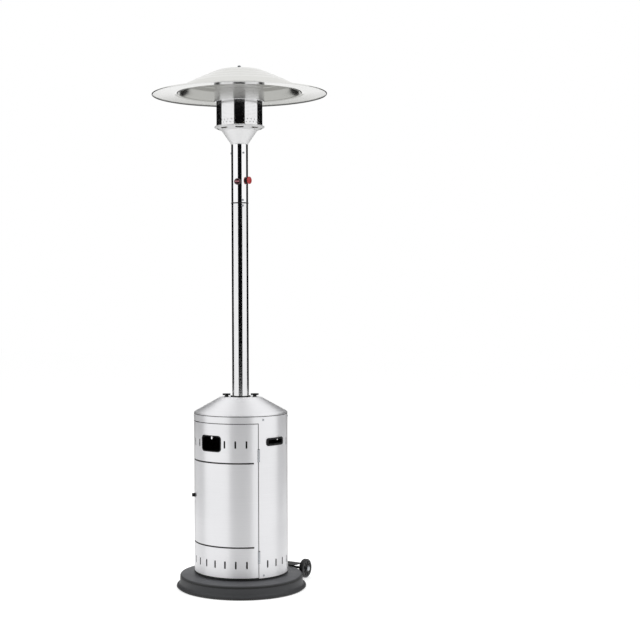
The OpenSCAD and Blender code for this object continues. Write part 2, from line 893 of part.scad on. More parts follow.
// Places of the screws that hold the leaves to the door
module hinge_screw_places() {
    for (z = [hinge_low_z, hinge_high_z], s = [-1, 1])
        at_phi(door_half - asin((leaf_w - 8) / shell_in), shell_in, ledge_h + z + s * (hinge_l / 2 - 9))
            rotate([-90, 0, 0])
                children();
}

module hinge_screws() {
    color("silver")
        hinge_screw_places()
            translate([0, 0, leaf_t + 0.2])
                rotate_extrude()
                    polygon([[0, -2.1], [hinge_screw_r, -2.1], [hinge_screw_r, 0],
                             [3.6, 0], [3.6, 0.8], [2.4, 1.8], [0, 2]]);
}

// The outline of a pressed bead, from a radius r0 inwards by its depth
module bead(z, r0, depth, half_angle, half_w) {
    rotate([0, 0, -half_angle - 90])
        rotate_extrude(angle = 2 * half_angle)
            polygon([[r0 + 1, z - half_w - 0.2], [r0, z - half_w], [r0 - depth * 0.8, z - half_w * 0.6],
                     [r0 - depth, z - half_w * 0.2], [r0 - depth, z + half_w * 0.2],
                     [r0 - depth * 0.8, z + half_w * 0.6], [r0, z + half_w], [r0 + 1, z + half_w + 0.2]]);
}

// The curved door: flat between the edges, with folded edges, two beads, slots and a window
module door_panel() {
    half = door_half - gap_angle;
    fold = 10;
    color("gainsboro")
        difference() {
            union() {
                sector(shell_r, shell_in, -half, half, door_z, door_h);
                for (z = [bead_low_z, bead_high_z])
                    bead(ledge_h + z, shell_in, bead_depth, bead_half_angle + 0.5, bead_half_w + sheet_t);
                at_phi(-half, shell_in, door_z + 2)
                    translate([0.1, -0.4, 0])
                        cube([sheet_t, fold, door_h - 4]);
            }
            for (z = [bead_low_z, bead_high_z])
                bead(ledge_h + z, shell_r, bead_depth, bead_half_angle, bead_half_w);
            slots(door_slots_low, ledge_h + slot_low_z);
            slots(door_slots_high, ledge_h + slot_high_z);
            radial(window_phi, ledge_h + window_z, shell_in - 15, shell_r + 15)
                soft_rect(window_w, window_h, 12);
            radial_pin(latch_phi, ledge_h + latch_z, shell_in - 10, shell_r + 10, spindle_r + run_gap);
            hinge_notches();
            hinge_screw_places()
                translate([0, 0, -sheet_t / 2])
                    cylinder(r = hinge_screw_r + seat_gap, h = 5);
            at_phi(-half, shell_in + 5, ledge_h + latch_z - 18)
                translate([-3, 5.8, 0])
                    cube([8, 12, 36]);
        }
}

// The edging that grips the window's cut edge on both faces of the door
module window_trim() {
    color("dimgray")
        difference() {
            intersection() {
                tube(shell_r + 1.5, shell_in - 1.5, ledge_h, shell_h);
                radial(window_phi, ledge_h + window_z, shell_in - 15, shell_r + 15)
                    soft_rect(window_w + trim_w, window_h + trim_w, 12 + trim_w / 2);
            }
            radial(window_phi, ledge_h + window_z, shell_in - 15, shell_r + 15)
                soft_rect(window_w - trim_w, window_h - trim_w, 12 - trim_w / 2);
            difference() {
                tube(shell_r + skin_gap, shell_in - skin_gap, ledge_h, shell_h);
                radial(window_phi, ledge_h + window_z, shell_in - 15, shell_r + 15)
                    soft_rect(window_w - 2 * skin_gap, window_h - 2 * skin_gap, 12);
            }
        }
}

// The latch's knob with its grip bar, and the spindle that goes through the door
module latch_knob() {
    spindle_l = shell_r - shell_in + cam_y + cam_t + 2;
    color("dimgray")
        at_phi(latch_phi, shell_r, ledge_h + latch_z)
            rotate([90, 0, 0])
                difference() {
                    union() {
                        translate([0, 0, -spindle_l])
                            cylinder(r = spindle_r, h = spindle_l + 2);
                        translate([0, 0, fit_gap + 0.3])
                            rotate_extrude()
                                polygon([[0, 0], [latch_r, 0], [latch_r, latch_d * 0.4],
                                         [latch_r - 1.5, latch_d * 0.55], [0, latch_d * 0.6]]);
                        translate([-2, -latch_r + 1, 1])
                            cube([4, 2 * latch_r - 2, latch_d - 1]);
                    }
                    translate([0, 0, -spindle_l - 1])
                        cylinder(r = 1.5, h = 6);
                }
}

// The cam on the spindle: upright while the door is free, behind the strike when turned
module latch_cam() {
    color("silver")
        at_phi(latch_phi, shell_in - cam_y, ledge_h + latch_z)
            rotate([-90, 0, 0])
                linear_extrude(height = cam_t)
                    difference() {
                        union() {
                            circle(r = 7);
                            translate([-5, 0])
                                square([10, cam_l]);
                        }
                        circle(r = spindle_r + seat_gap);
                    }
}

// MAST

module mast_tube() {
    color("gainsboro")
        difference() {
            tube(mast_r, mast_in, mast_z, mast_l);
            joint_bores(tube_screw_r + 0.2);
        }
}

// The flange welded to the mast's foot, with two threaded holes for the wing screws
module foot_flange() {
    color("silver")
        difference() {
            tube(foot_r, mast_r + seat_gap, mast_z, foot_t);
            wing_places()
                cylinder(r = wing_thread_r + fit_gap, h = top_z);
        }
}

// The sleeve inside both tubes that joins them
module joint_sleeve() {
    color("silver")
        difference() {
            tube(mast_in - seat_gap, mast_in - seat_gap - 2, joint_z - sleeve_l,
                 2 * sleeve_l + trim_ring_h);
            joint_bores(tube_screw_r + seat_gap);
        }
}

module trim_ring() {
    color("dimgray")
        rotate_extrude()
            polygon([[mast_in + seat_gap, joint_z], [mast_r + 0.5, joint_z], [mast_r + 1.7, joint_z + 1.2],
                     [mast_r + 1.7, control_z0 - 1.2], [mast_r + 0.5, control_z0],
                     [mast_in + seat_gap, control_z0]]);
}

// The heights of the two screws that hold the sleeve, below and above the black ring
function joint_screw_zs() = [joint_z - joint_screw_drop, control_z0 + joint_screw_drop];

module joint_bores(r) {
    for (z = joint_screw_zs())
        radial_pin(joint_screw_phi, z, 0, mast_r + 5, r);
}

module joint_screws() {
    color("silver")
        for (z = joint_screw_zs())
            radial_screw(joint_screw_phi, z, mast_r, 5, tube_screw_r, 5, 3.5);
}

module control_tube() {
    color("gainsboro")
        difference() {
            tube(mast_r, mast_in, control_z0, control_l);
            joint_bores(tube_screw_r + 0.2);
            radial_pin(knob_phi, knob_z, 0, mast_r + 5, neck_r + seat_gap);
            radial_pin(igniter_phi, igniter_z, 0, mast_r + 5, neck_r + seat_gap);
            for (phi = head_screw_phis)
                radial_pin(phi, head_z - head_screw_drop, 0, mast_r + 5, tube_screw_r + 0.2);
        }
}

module head_screws() {
    color("silver")
        for (phi = head_screw_phis)
            radial_screw(phi, head_z - head_screw_drop, mast_r, 5, tube_screw_r, 4.5, 3);
}

// CONTROLS

// The gas valve: a block on the mast's axis with a threaded neck through the tube and its nut
module valve_body() {
    color("goldenrod")
        difference() {
            union() {
                at_phi(knob_phi, 0, valve_low)
                    translate([-valve_half, -valve_front, 0])
                        cube([2 * valve_half, valve_front + 8, valve_top - valve_low]);
                radial_pin(knob_phi, knob_z, valve_front - 1, mast_r + 3.5, neck_r);
                at_phi(knob_phi, mast_r + seat_gap, knob_z)
                    rotate([90, 0, 0])
                        cylinder(r = 10, h = 3, $fn = 6);
            }
            radial_pin(knob_phi, knob_z, 2, mast_r + 10, stem_r + run_gap);
            translate([0, 0, valve_top - 10])
                cylinder(r = pipe_r + seat_gap, h = 20);
            translate([0, 0, valve_low - 10])
                cylinder(r = 6 + seat_gap, h = 20);
        }
}

// The nipple under the valve that takes the hose, with three barbs
module inlet_nipple() {
    color("goldenrod")
        translate([0, 0, valve_low + 10])
            rotate([180, 0, 0])
                rotate_extrude()
                    polygon([[2.5, 0], [6, 0], [6, 10], [8.5, 10], [8.5, 15], [4, 15],
                             [5, 20], [4, 20], [5, 25], [4, 25], [5, 30], [4, 33], [2.5, 33]]);
}

// The pipe from the valve to the burner's jet
module gas_pipe() {
    color("peru")
        difference() {
            union() {
                tube(pipe_r, pipe_r - 1, valve_top - 9, funnel_top - valve_top + 5);
                translate([0, 0, funnel_top - 8])
                    cylinder(r = 7, h = 12);
            }
            translate([0, 0, valve_top])
                cylinder(r = pipe_r - 1, h = funnel_top - valve_top);
            translate([0, 0, funnel_top - 2])
                cylinder(r = 0.8, h = 10);
        }
}

// The valve's stem: a round shaft with a flat for the knob
module valve_stem() {
    color("silver")
        difference() {
            radial_pin(knob_phi, knob_z, 3, stem_end, stem_r);
            at_phi(knob_phi, stem_end, knob_z)
                translate([stem_r - 1.2, -1, -10])
                    cube([5, 9, 20]);
        }
}

// The control knob: skirt, tapered body and a grip bar, bored to slide on the stem
module control_knob() {
    color("darkred")
        at_phi(knob_phi, knob_back, knob_z)
            rotate([90, 0, 0])
                difference() {
                    union() {
                        rotate_extrude()
                            polygon([[0, 0], [knob_r, 0], [knob_r, 2.5], [knob_r - 1.5, knob_d * 0.55],
                                     [knob_r - 3, knob_d * 0.65], [0, knob_d * 0.65]]);
                        translate([-knob_r + 2, -2.5, knob_d * 0.4])
                            cube([2 * knob_r - 4, 5, knob_d * 0.6]);
                    }
                    translate([0, 0, -1])
                        cylinder(r = stem_r + run_gap, h = 1 + stem_grip + knob_push + 0.5);
                }
}

// The piezo igniter: a barrel in the tube with a bezel outside
module igniter_body() {
    color("dimgray")
        difference() {
            union() {
                radial_pin(igniter_phi, igniter_z, 17, igniter_seat, neck_r);
                radial_pin(igniter_phi, igniter_z, mast_r + seat_gap, igniter_seat, 12);
            }
            radial_pin(igniter_phi, igniter_z, 20, mast_r + 10, 5 + run_gap);
        }
}

// The igniter's push button: a plunger in the barrel under a mushroom cap
module igniter_button() {
    cap_seat = igniter_seat + igniter_push + fit_gap;
    color("firebrick")
        at_phi(igniter_phi, 0, igniter_z)
            rotate([90, 0, 0])
                rotate_extrude()
                    polygon(concat(
                        [[0, 20 + igniter_push + 0.5], [5, 20 + igniter_push + 0.5], [5, cap_seat],
                         [igniter_r, cap_seat], [igniter_r, cap_seat + 3]],
                        [for (t = [0 : 15 : 90]) [igniter_r * cos(t), cap_seat + 3 + 5 * sin(t)]]));
}

// The tilt switch on the inside of the mast, over the joint
module tilt_switch() {
    color("dimgray")
        at_phi(180, mast_in - seat_gap - 7, control_z0 + sleeve_l + 4)
            intersection() {
                translate([-9, -7, 0])
                    cube([18, 13, 26]);
                translate([0, mast_in - seat_gap - 7, 0])
                    cylinder(r = mast_in - seat_gap, h = 26);
            }
}

// HEATER HEAD

// The funnel: a spigot inside the control tube, a shoulder on its end and the cone
module head_funnel() {
    color("gainsboro")
        difference() {
            rotate_extrude()
                polygon([[mast_in - seat_gap - 1.5, head_z - 52], [mast_in - seat_gap, head_z - 52],
                         [mast_in - seat_gap, head_z], [mast_r + 1.2, head_z], [mast_r + 1.2, head_z + 3],
                         [funnel_r, funnel_top], [funnel_r - head_t, funnel_top],
                         [mast_r - 1, head_z + 4], [mast_in - seat_gap - 1.5, head_z + 2]]);
            for (phi = head_screw_phis)
                radial_pin(phi, head_z - head_screw_drop, 0, mast_r + 5, tube_screw_r + seat_gap);
        }
}

// The sloping ring with the air slots, and the lip that the tray lies in
module air_ring() {
    color("gainsboro")
        difference() {
            rotate_extrude()
                polygon([[funnel_r - 4, funnel_top], [funnel_r + 0.5, funnel_top],
                         [air_ring_r, tray_z - 3], [air_ring_r, tray_z + 2], [air_ring_r - head_t, tray_z + 2],
                         [air_ring_r - head_t, tray_z - 2.4], [funnel_r, funnel_top + head_t],
                         [funnel_r - 4, funnel_top + head_t]]);
            for (i = [0 : air_slot_count - 1])
                at_phi(air_slot_phi + i * 360 / air_slot_count, (funnel_r + air_ring_r) / 2, funnel_top - 20)
                    linear_extrude(height = 60)
                        soft_rect(air_slot_l, 10, 3);
        }
}

// The tray that carries the burner and the screen
module burner_tray() {
    color("silver")
        difference() {
            rotate_extrude()
                polygon([[20, tray_z - head_t], [air_ring_r - head_t - seat_gap, tray_z - head_t],
                         [air_ring_r - head_t - seat_gap, tray_z], [screen_r - head_t - seat_gap, tray_z],
                         [screen_r - head_t - seat_gap, tray_z + 8], [screen_r - 2 * head_t, tray_z + 8],
                         [screen_r - 2 * head_t, tray_z], [20, tray_z]]);
            for (i = [0 : 11])
                rotate([0, 0, i * 30])
                    translate([burner_r + 18, 0, tray_z - 5])
                        cylinder(r = 5, h = 10);
        }
}

// The mixing tube under the burner, bell-mouthed over the jet, with air ports
module burner_tube() {
    z0 = funnel_top + 5;
    z1 = burner_z;
    color("silver")
        difference() {
            rotate_extrude()
                polygon([[8, z0], [14, z0], [16, z0 + 4], [20 - seat_gap, tray_z - head_t - 2],
                         [20 - seat_gap, tray_z], [26, tray_z], [26, tray_z + head_t],
                         [16, tray_z + 2 * head_t + 1], [16, z1], [14.5, z1],
                         [14.5, tray_z], [12, z0 + 5], [8, z0 + 1.5]]);
            for (a = [0 : 90 : 270])
                rotate([0, 0, a])
                    translate([0, 0, tray_z + 12])
                        rotate([90, 0, 0])
                            cylinder(r = 4, h = 40);
        }
}

// The burner: a shallow drum on the mixing tube with two rings of flame ports
module burner_plate() {
    z0 = burner_z;
    color("gray")
        difference() {
            rotate_extrude()
                polygon([[0, z0 + 18], [burner_r - 6, z0 + 15], [burner_r, z0 + 11], [burner_r, z0],
                         [12, z0], [12, z0 + 1.5], [burner_r - 1.5, z0 + 1.5], [burner_r - 1.5, z0 + 10.5],
                         [burner_r - 7, z0 + 13.5], [0, z0 + 16.5]]);
            for (i = [0 : 23], r = [burner_r - 12, burner_r - 26])
                rotate([0, 0, i * 15])
                    translate([r, 0, z0 + 8])
                        cylinder(r = 2, h = 20);
        }
}

// The pilot burner beside the main one, with its electrode and thermocouple tip
module pilot_burner() {
    x = burner_r + 18;
    z1 = tray_z + 40;
    color("silver")
        at_phi(155, x, tray_z) {
            translate([-14, -5, 0])
                cube([28, 10, 2]);
            cylinder(r = 4, h = z1 - tray_z);
            for (s = [-1, 1])
                translate([s * 10, 0, 0])
                    cylinder(r = 2, h = z1 - tray_z + 8);
        }
}

// The perforated screen that glows, with two rings of larger holes low down
module glow_screen() {
    color("gainsboro")
        difference() {
            tube(screen_r, screen_r - head_t, tray_z, screen_h);
            for (i = [0 : 35], j = [0, 1])
                radial_pin(i * 10 + j * 5, tray_z + 14 + j * 12, screen_r - 5, screen_r + 5, 2.5);
        }
}

module hood_ring() {
    color("lightgray")
        rotate_extrude()
            polygon([[screen_r + seat_gap, hood_z], [hood_r - 1, hood_z], [hood_r, hood_z + 1],
                     [hood_r, cap_z - 1], [hood_r - 1, cap_z], [cap_r - 12, cap_z],
                     [cap_r - 12, cap_z - head_t], [hood_r - head_t - 0.6, cap_z - head_t],
                     [hood_r - head_t, cap_z - head_t - 0.6], [hood_r - head_t, hood_z + head_t + 0.4],
                     [hood_r - head_t - 0.6, hood_z + head_t], [screen_r + seat_gap, hood_z + head_t]]);
}

module hood_cap() {
    color("silver")
        difference() {
            rotate_extrude()
                polygon([[cap_r, cap_z], [cap_r, cap_top - 2], [cap_r - 2, cap_top], [0, cap_top],
                         [0, cap_top - head_t], [cap_r - 2.6, cap_top - head_t],
                         [cap_r - head_t, cap_top - 2.6], [cap_r - head_t, cap_z]]);
            stud_places()
                cylinder(r = stud_thread_r + seat_gap, h = cap_top + 50);
        }
}

// REFLECTOR

module stud_places() {
    for (a = [0 : 120 : 240])
        at_phi(air_slot_phi + a, stud_r)
            children();
}

// Height of the reflector's upper face above its rim, from its middle outwards
function crown_z(r) = slope_rise + (reflector_h - slope_rise) * (1 - pow(r / crown_r, 2));
function slope_z(r) = step_rise + (slope_rise - step_rise) * (step_top_r - r) / (step_top_r - crown_r);
ring_rs = [for (i = [1 : 3]) step_top_r + (crown_r - step_top_r) * i / 4];

// The upper face: domed crown, slope with pressed rings, steep step, ridge, flat ring
reflector_face = concat(
    [for (i = [0 : 8]) [crown_r * i / 8, crown_z(crown_r * i / 8)]],
    [for (i = [2 : -1 : 0], p = [[-5, 0], [-2, 1.6], [2, 1.6], [5, 0]])
        [ring_rs[i] + p[0], slope_z(ring_rs[i] + p[0]) + p[1]]],
    [[step_top_r, step_rise], [ridge_r - 14, ridge_rise + 15], [ridge_r - 4, ridge_rise + 3],
     [ridge_r, ridge_rise + 2.5], [ridge_r + 4, ridge_rise], [reflector_r - 6, 4]]);

// The rolled edge of the rim
rolled_edge = [for (t = [140 : -25 : -185])
    [reflector_r - roll_r + roll_r * cos(t), roll_r + roll_r * sin(t)]];

// Height of the reflector's upper face at a radius, and where a nut sits on it
function face_z(r) = rim_z + lookup(r, reflector_face);
function nut_seat() = face_z(stud_r - nut_r);

module reflector() {
    color("lightgray")
        difference() {
            rotate_extrude()
                translate([0, rim_z])
                    polygon(concat(reflector_face, rolled_edge,
                        [for (i = [len(reflector_face) - 1 : -1 : 0])
                            reflector_face[i] - [0, reflector_t]]));
            stud_places()
                cylinder(r = stud_thread_r + seat_gap, h = rim_z + reflector_h + 20);
        }
}

// Turned studs with a shoulder under the reflector and a thread at each end
module reflector_studs() {
    seat = face_z(stud_r + 6) - reflector_t;
    color("silver")
        stud_places() {
            translate([0, 0, cap_top])
                cylinder(r = 6, h = seat - cap_top);
            translate([0, 0, cap_top - 12])
                cylinder(r = stud_thread_r, h = nut_seat() + 3 - cap_top + 12);
            translate([0, 0, cap_top - head_t - 4])
                cylinder(r = 7, h = 4, $fn = 6);
        }
}

module reflector_nuts() {
    color("silver")
        stud_places()
            translate([0, 0, nut_seat()])
                difference() {
                    union() {
                        cylinder(r = nut_r, h = 3, $fn = 6);
                        translate([0, 0, 3])
                            cylinder(r1 = 6, r2 = 3.5, h = 2.5);
                    }
                    translate([0, 0, -1])
                        cylinder(r = stud_thread_r + seat_gap, h = 4.5);
                }
}

base_cover();
base_plate();
ballast_slab();
base_screws();
wheel_bracket();
bracket_screws();
wheel_axle();
axle_caps();
left_wheel();
right_wheel();
housing_shell();
shell_feet();
shell_screws();
hinge_jamb();
latch_jamb();
strike_plate();
side_grips();
housing_top();
mast_plate();
guide_collar();
left_wing_screw();
right_wing_screw();
hinge_fixed_leaves();
hinge_pins();
hinge_door_leaves();
hinge_screws();
door_panel();
window_trim();
latch_knob();
latch_cam();
mast_tube();
foot_flange();
joint_sleeve();
trim_ring();
control_tube();
joint_screws();
head_screws();
valve_body();
inlet_nipple();
gas_pipe();
valve_stem();
control_knob();
igniter_body();
igniter_button();
tilt_switch();
head_funnel();
air_ring();
burner_tray();
burner_tube();
burner_plate();
pilot_burner();
glow_screen();
hood_ring();
hood_cap();
reflector_studs();
reflector();
reflector_nuts();
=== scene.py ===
"""Looks for a mushroom patio heater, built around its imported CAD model.

Lengths in the settings are in metres, as Blender's are. Angles round the mast are counted
from the door's centre, which faces -Y, towards +X.
"""

import json
import math

import bmesh
import bpy
import numpy as np
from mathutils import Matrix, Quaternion, Vector

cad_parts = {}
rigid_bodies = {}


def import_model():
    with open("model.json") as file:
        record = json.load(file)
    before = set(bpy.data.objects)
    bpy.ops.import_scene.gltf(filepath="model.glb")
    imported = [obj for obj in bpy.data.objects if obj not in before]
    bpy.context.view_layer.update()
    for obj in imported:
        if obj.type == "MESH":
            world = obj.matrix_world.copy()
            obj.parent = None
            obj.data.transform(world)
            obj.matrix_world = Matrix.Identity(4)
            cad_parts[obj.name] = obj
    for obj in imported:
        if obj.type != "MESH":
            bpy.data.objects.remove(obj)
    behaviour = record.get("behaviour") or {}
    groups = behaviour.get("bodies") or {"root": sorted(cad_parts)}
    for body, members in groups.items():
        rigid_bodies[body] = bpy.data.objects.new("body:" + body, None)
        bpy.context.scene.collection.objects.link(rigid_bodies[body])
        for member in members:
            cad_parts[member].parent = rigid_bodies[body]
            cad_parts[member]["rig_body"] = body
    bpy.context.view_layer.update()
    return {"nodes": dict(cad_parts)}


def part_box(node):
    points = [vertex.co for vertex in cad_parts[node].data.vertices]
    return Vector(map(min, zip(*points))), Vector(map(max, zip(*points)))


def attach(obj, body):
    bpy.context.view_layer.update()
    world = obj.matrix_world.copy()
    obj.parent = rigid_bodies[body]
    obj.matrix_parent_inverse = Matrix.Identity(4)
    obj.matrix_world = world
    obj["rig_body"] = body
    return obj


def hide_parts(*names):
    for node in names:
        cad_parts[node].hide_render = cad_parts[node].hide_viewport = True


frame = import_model()

bl_info = {
    "name": "Patio heater looks",
    "version": (1, 0, 0),
    "blender": (4, 5, 0),
    "location": "3D View > Sidebar > Heater",
    "description": "Surfaces, finishes and studio for a mushroom patio heater",
    "category": "Object",
}

IMAGE_PX = 640
SENSOR_MM = 36.0
MM = 0.001
RIM_LOW, RIM_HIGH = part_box("reflector")
SCREEN_LOW, SCREEN_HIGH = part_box("glow_screen")
# Points of a mesh that are nearer to each other than this are one
WELD = 0.002 * MM
# Heights on the base: the groove and the gap under the housing, painted dark as shade,
# the foot, painted dark as a contact shadow, and the top face, painted lighter as lit from above
GROOVE, LEDGE_GAP = (43.4 * MM, 50.2 * MM), (60.6 * MM, 70.2 * MM)
FOOT_H, TOP_FACE_Z = 11 * MM, 54.5 * MM
# Radius inside which the housing's sheet is painted dark, as painted shade inside the housing
INSIDE_SHADE_R = 194.9 * MM
# Share of the knob's depth past which its grip bar is painted paler, as a painted highlight
BAR_HIGHLIGHT_SHARE = 0.9


# Colours


def linear(hex_code):
    """An sRGB colour such as "#8a8d91" as Blender's linear red, green, blue and alpha."""
    s = np.array([int(hex_code[i : i + 2], 16) for i in (1, 3, 5)]) / 255
    return (*np.where(s <= 0.04045, s / 12.92, ((s + 0.055) / 1.055) ** 2.4).tolist(), 1.0)


def colour(name, hex_code, words):
    """A colour property with its name, description and sRGB default."""
    return bpy.props.FloatVectorProperty(
        name=name, description=words, default=linear(hex_code), subtype="COLOR", size=4, min=0, max=1
    )


def length(name, metres, words):
    """A length property with its name, description and default in metres."""
    return bpy.props.FloatProperty(
        name=name, description=words, default=metres, unit="LENGTH", min=0, precision=4
    )


def angle(name, degrees, words):
    """An angle property with its name, description and default in degrees."""
    return bpy.props.FloatProperty(
        name=name, description=words, default=math.radians(degrees), subtype="ANGLE"
    )


class HeaterFinishes(bpy.types.PropertyGroup):
    """Colours of the heater's finishes."""

    housing: colour("Housing steel", "#f4f4f6", "Brushed stainless sheet of the housing and the door")
    cone: colour("Sloping top", "#f7f7f9", "Finer brushed stainless sheet of the housing's top")
    mast: colour("Mast steel", "#efeff0", "Polished stainless of the mast's lower tube")
    control: colour("Control tube steel", "#fafafb", "Mirror-polished stainless of the mast's upper tube")
    head: colour("Head steel", "#f2f2f3", "Polished stainless sheet of the burner head")
    hood: colour("Hood steel", "#efeff0", "Satin stainless of the hood over the screen")
    aluminium: colour("Reflector aluminium", "#e0e0dd", "Spun aluminium of the reflector")
    # Painted light under the reflector: a lighter tone outside the ridge for a painted highlight, and a
    # darker one inside it for painted shade
    bright: colour("Bright aluminium", "#f0f0ee", "Bright ring round the reflector's underside")
    dulled: colour("Underside shade", "#bcbcb8", "Underside of the reflector over the burner")
    # Painted light: the base's top face is drawn paler, as if lit from above
    base: colour("Base plastic", "#353638", "Grained moulding of the base")
    top_face_light: colour("Top face light", "#5a5b5e", "Top face of the base, painted lighter as if lit from above")
    black: colour("Black plastic", "#151516", "Collar, grips, window edging and screw heads")
    wheel: colour("Wheel plastic", "#121213", "Glossy moulding of the wheels")
    # Painted highlight: a paler red for the top of the knob's grip bar
    pointer: colour("Pointer", "#a86e76", "Pale bar printed on the control knob")
    maroon: colour("Knob red", "#32090f", "Control knob")
    red: colour("Button red", "#b0393a", "Igniter button")
    zinc: colour("Zinc plating", "#b9bcc0", "Plated screws, brackets and hinges")
    iron: colour("Cast iron", "#4a4846", "Ballast in the base")
    brass: colour("Brass", "#c9a55c", "Gas valve and its nipple")
    copper: colour("Copper", "#b8734b", "Gas pipe in the mast")
    burner: colour("Burner steel", "#9a948c", "Heat tinted steel of the burner")
    paint: colour("Bracket paint", "#161617", "Black paint on the wheel bracket")


class HeaterReflector(bpy.types.PropertyGroup):
    """Sizes of the reflector's pressed surface."""

    radius: length("Radius", RIM_HIGH.x, "Radius of the reflector at its rolled rim")
    ridge: length("Ridge radius", 0.262, "Radius of the pressed ridge inside the flat ring")
    crown: length("Crown radius", 0.096, "Radius of the domed middle")
    ring: length("Ring height", 0.0016, "Height of the rings pressed into the slope")
    sheet: length("Sheet", 0.001, "Thickness of the reflector's sheet")


class HeaterScreen(bpy.types.PropertyGroup):
    """Sizes of the perforated screen round the burner."""

    radius: length("Radius", SCREEN_HIGH.x, "Outer radius of the screen")
    pitch: length("Hole pitch", 0.0056, "Distance of the holes from each other")
    hole: length("Hole diameter", 0.0019, "Diameter of a hole")
    air_hole: length("Air hole diameter", 0.0046, "Diameter of the larger holes in the two low rows")
    sheet: length("Sheet", 0.001, "Thickness of the screen's sheet")


class HeaterControls(bpy.types.PropertyGroup):
    """Sizes of the knobs and the button."""

    knob_angle: angle("Knob angle", 21, "Angle of the control knob round the mast")
    button_angle: angle("Button angle", 88.3, "Angle of the igniter button round the mast")
    flutes: bpy.props.IntProperty(name="Flutes", description="Flutes round a knob's skirt", default=18)


class HeaterStudio(bpy.types.PropertyGroup):
    """Where the camera stands and how the studio is lit."""

    azimuth: angle("Camera azimuth", 33.3, "Angle of the camera round the heater")
    distance: length("Camera distance", 5.5, "Distance of the camera from the mast")
    height: length("Camera height", 1.255, "Height of the camera above the floor")
    focal_px: bpy.props.FloatProperty(
        name="Focal length", description="Focal length in pixels of the picture", default=1314
    )
    mast_px: bpy.props.FloatProperty(
        name="Mast column", description="Column of the picture that the mast stands in", default=240.3
    )
    horizon_px: bpy.props.FloatProperty(
        name="Horizon row", description="Row of the picture that the horizon lies in", default=287.3
    )
    roll: angle("Camera roll", -0.25, "Lean of the camera, to its left where positive")
    world: bpy.props.FloatProperty(
        name="World strength", description="Strength of the even light from all round", default=0.62
    )
    floor: bpy.props.FloatProperty(
        name="Floor tone", description="Brightness of the floor in reflections", default=0.95
    )


# Meshes


def polar(phi, r, z):
    """Points at the angles phi round the mast, the radii r and the heights z."""
    return np.stack(np.broadcast_arrays(r * np.sin(phi), -r * np.cos(phi), z), axis=-1)


def grid_faces(rows, columns, wrap_rows=False, wrap_columns=True):
    """Quads between the points of a grid, closed round its columns, its rows or both."""
    i = np.arange(rows if wrap_rows else rows - 1)[:, None]
    j = np.arange(columns if wrap_columns else columns - 1)[None, :]
    i1, j1 = (i + 1) % rows, (j + 1) % columns
    quads = [i * columns + j, i * columns + j1, i1 * columns + j1, i1 * columns + j]
    return np.stack(np.broadcast_arrays(*quads), axis=-1).reshape(-1, 4)


def make_piece(name, points, faces, node, material, sharp=35, instead=True):
    """A mesh object from points in metres and faces, in place of a CAD node or beside it.

    Doubles are merged, so that poles close, and faces are turned outwards. Edges that bend
    by more degrees than sharp stay sharp.
    """
    mesh = bpy.data.meshes.new(name)
    mesh.from_pydata(np.asarray(points, float).reshape(-1, 3).tolist(), [], np.asarray(faces).tolist())
    work = bmesh.new()
    work.from_mesh(mesh)
    bmesh.ops.remove_doubles(work, verts=work.verts, dist=WELD)
    bmesh.ops.dissolve_degenerate(work, edges=work.edges, dist=WELD / 2)
    bmesh.ops.recalc_face_normals(work, faces=work.faces)
    work.to_mesh(mesh)
    work.free()
    mesh.polygons.foreach_set("use_smooth", np.ones(len(mesh.polygons), bool))
    mesh.set_sharp_from_angle(angle=math.radians(sharp))
    piece = bpy.data.objects.new(name, mesh)
    bpy.context.scene.collection.objects.link(piece)
    mesh.materials.append(material)
    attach(piece, body_of_node(node))
    if instead:
        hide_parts(node)
    return piece


def body_of_node(node):
    """The CAD body that a node moves with."""
    return frame["nodes"][node]["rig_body"]


def joined(parts):
    """One set of points and faces from several."""
    start, points, faces = 0, [], []
    for p, f in parts:
        p = p.reshape(-1, 3)
        points.append(p)
        faces.append(np.asarray(f) + start)
        start += len(p)
    return np.concatenate(points), np.concatenate(faces)


def along(parts, phi, r, z):
    """Turns points made about +Z into a place on the mast: +Z becomes the outward direction there."""
    out = np.array([math.sin(phi), -math.cos(phi), 0.0])
    side = np.array([math.cos(phi), math.sin(phi), 0.0])
    up = np.array([0.0, 0.0, 1.0])
    basis = np.stack([side, up, out])
    return parts.reshape(-1, 3) @ basis + np.array([r * out[0], r * out[1], z])


def smooth_node(node):
    """Shades a CAD node smoothly over its fine facets and sharply where it bends by 30 degrees."""
    o = frame["nodes"][node]
    mesh = o.data
    if "custom_normal" in mesh.attributes:
        mesh.attributes.remove(mesh.attributes["custom_normal"])
    mesh.polygons.foreach_set("use_smooth", np.ones(len(mesh.polygons), bool))
    weld = o.modifiers.new("weld", "WELD")
    weld.merge_threshold = WELD
    split = o.modifiers.new("edges", "EDGE_SPLIT")
    split.split_angle = math.radians(30)
    return o


def dress(material, *nodes):
    """Gives CAD nodes a material in all their slots."""
    for node in nodes:
        o = smooth_node(node)
        o.data.materials.clear()
        o.data.materials.append(material)


# Materials


def node_of(tree, kind, links=None, **settings):
    """Adds a shader node, sets its sockets or its own properties, and links what feeds it."""
    n = tree.nodes.new(kind)
    for key, value in settings.items():
        if key in n.inputs:
            n.inputs[key].default_value = value
        elif hasattr(n, key):
            setattr(n, key, value)
        else:
            n.inputs[key.replace("_", " ")].default_value = value
    for key, source in (links or {}).items():
        tree.links.new(source, n.inputs[key])
    return n


def new_material(name):
    """An empty material with its Principled shader, its tree and the Object coordinates."""
    m = bpy.data.materials.new(name)
    m.use_nodes = True
    tree = m.node_tree
    shader = tree.nodes["Principled BSDF"]
    place = tree.nodes.new("ShaderNodeTexCoord").outputs["Object"]
    return m, tree, shader, place


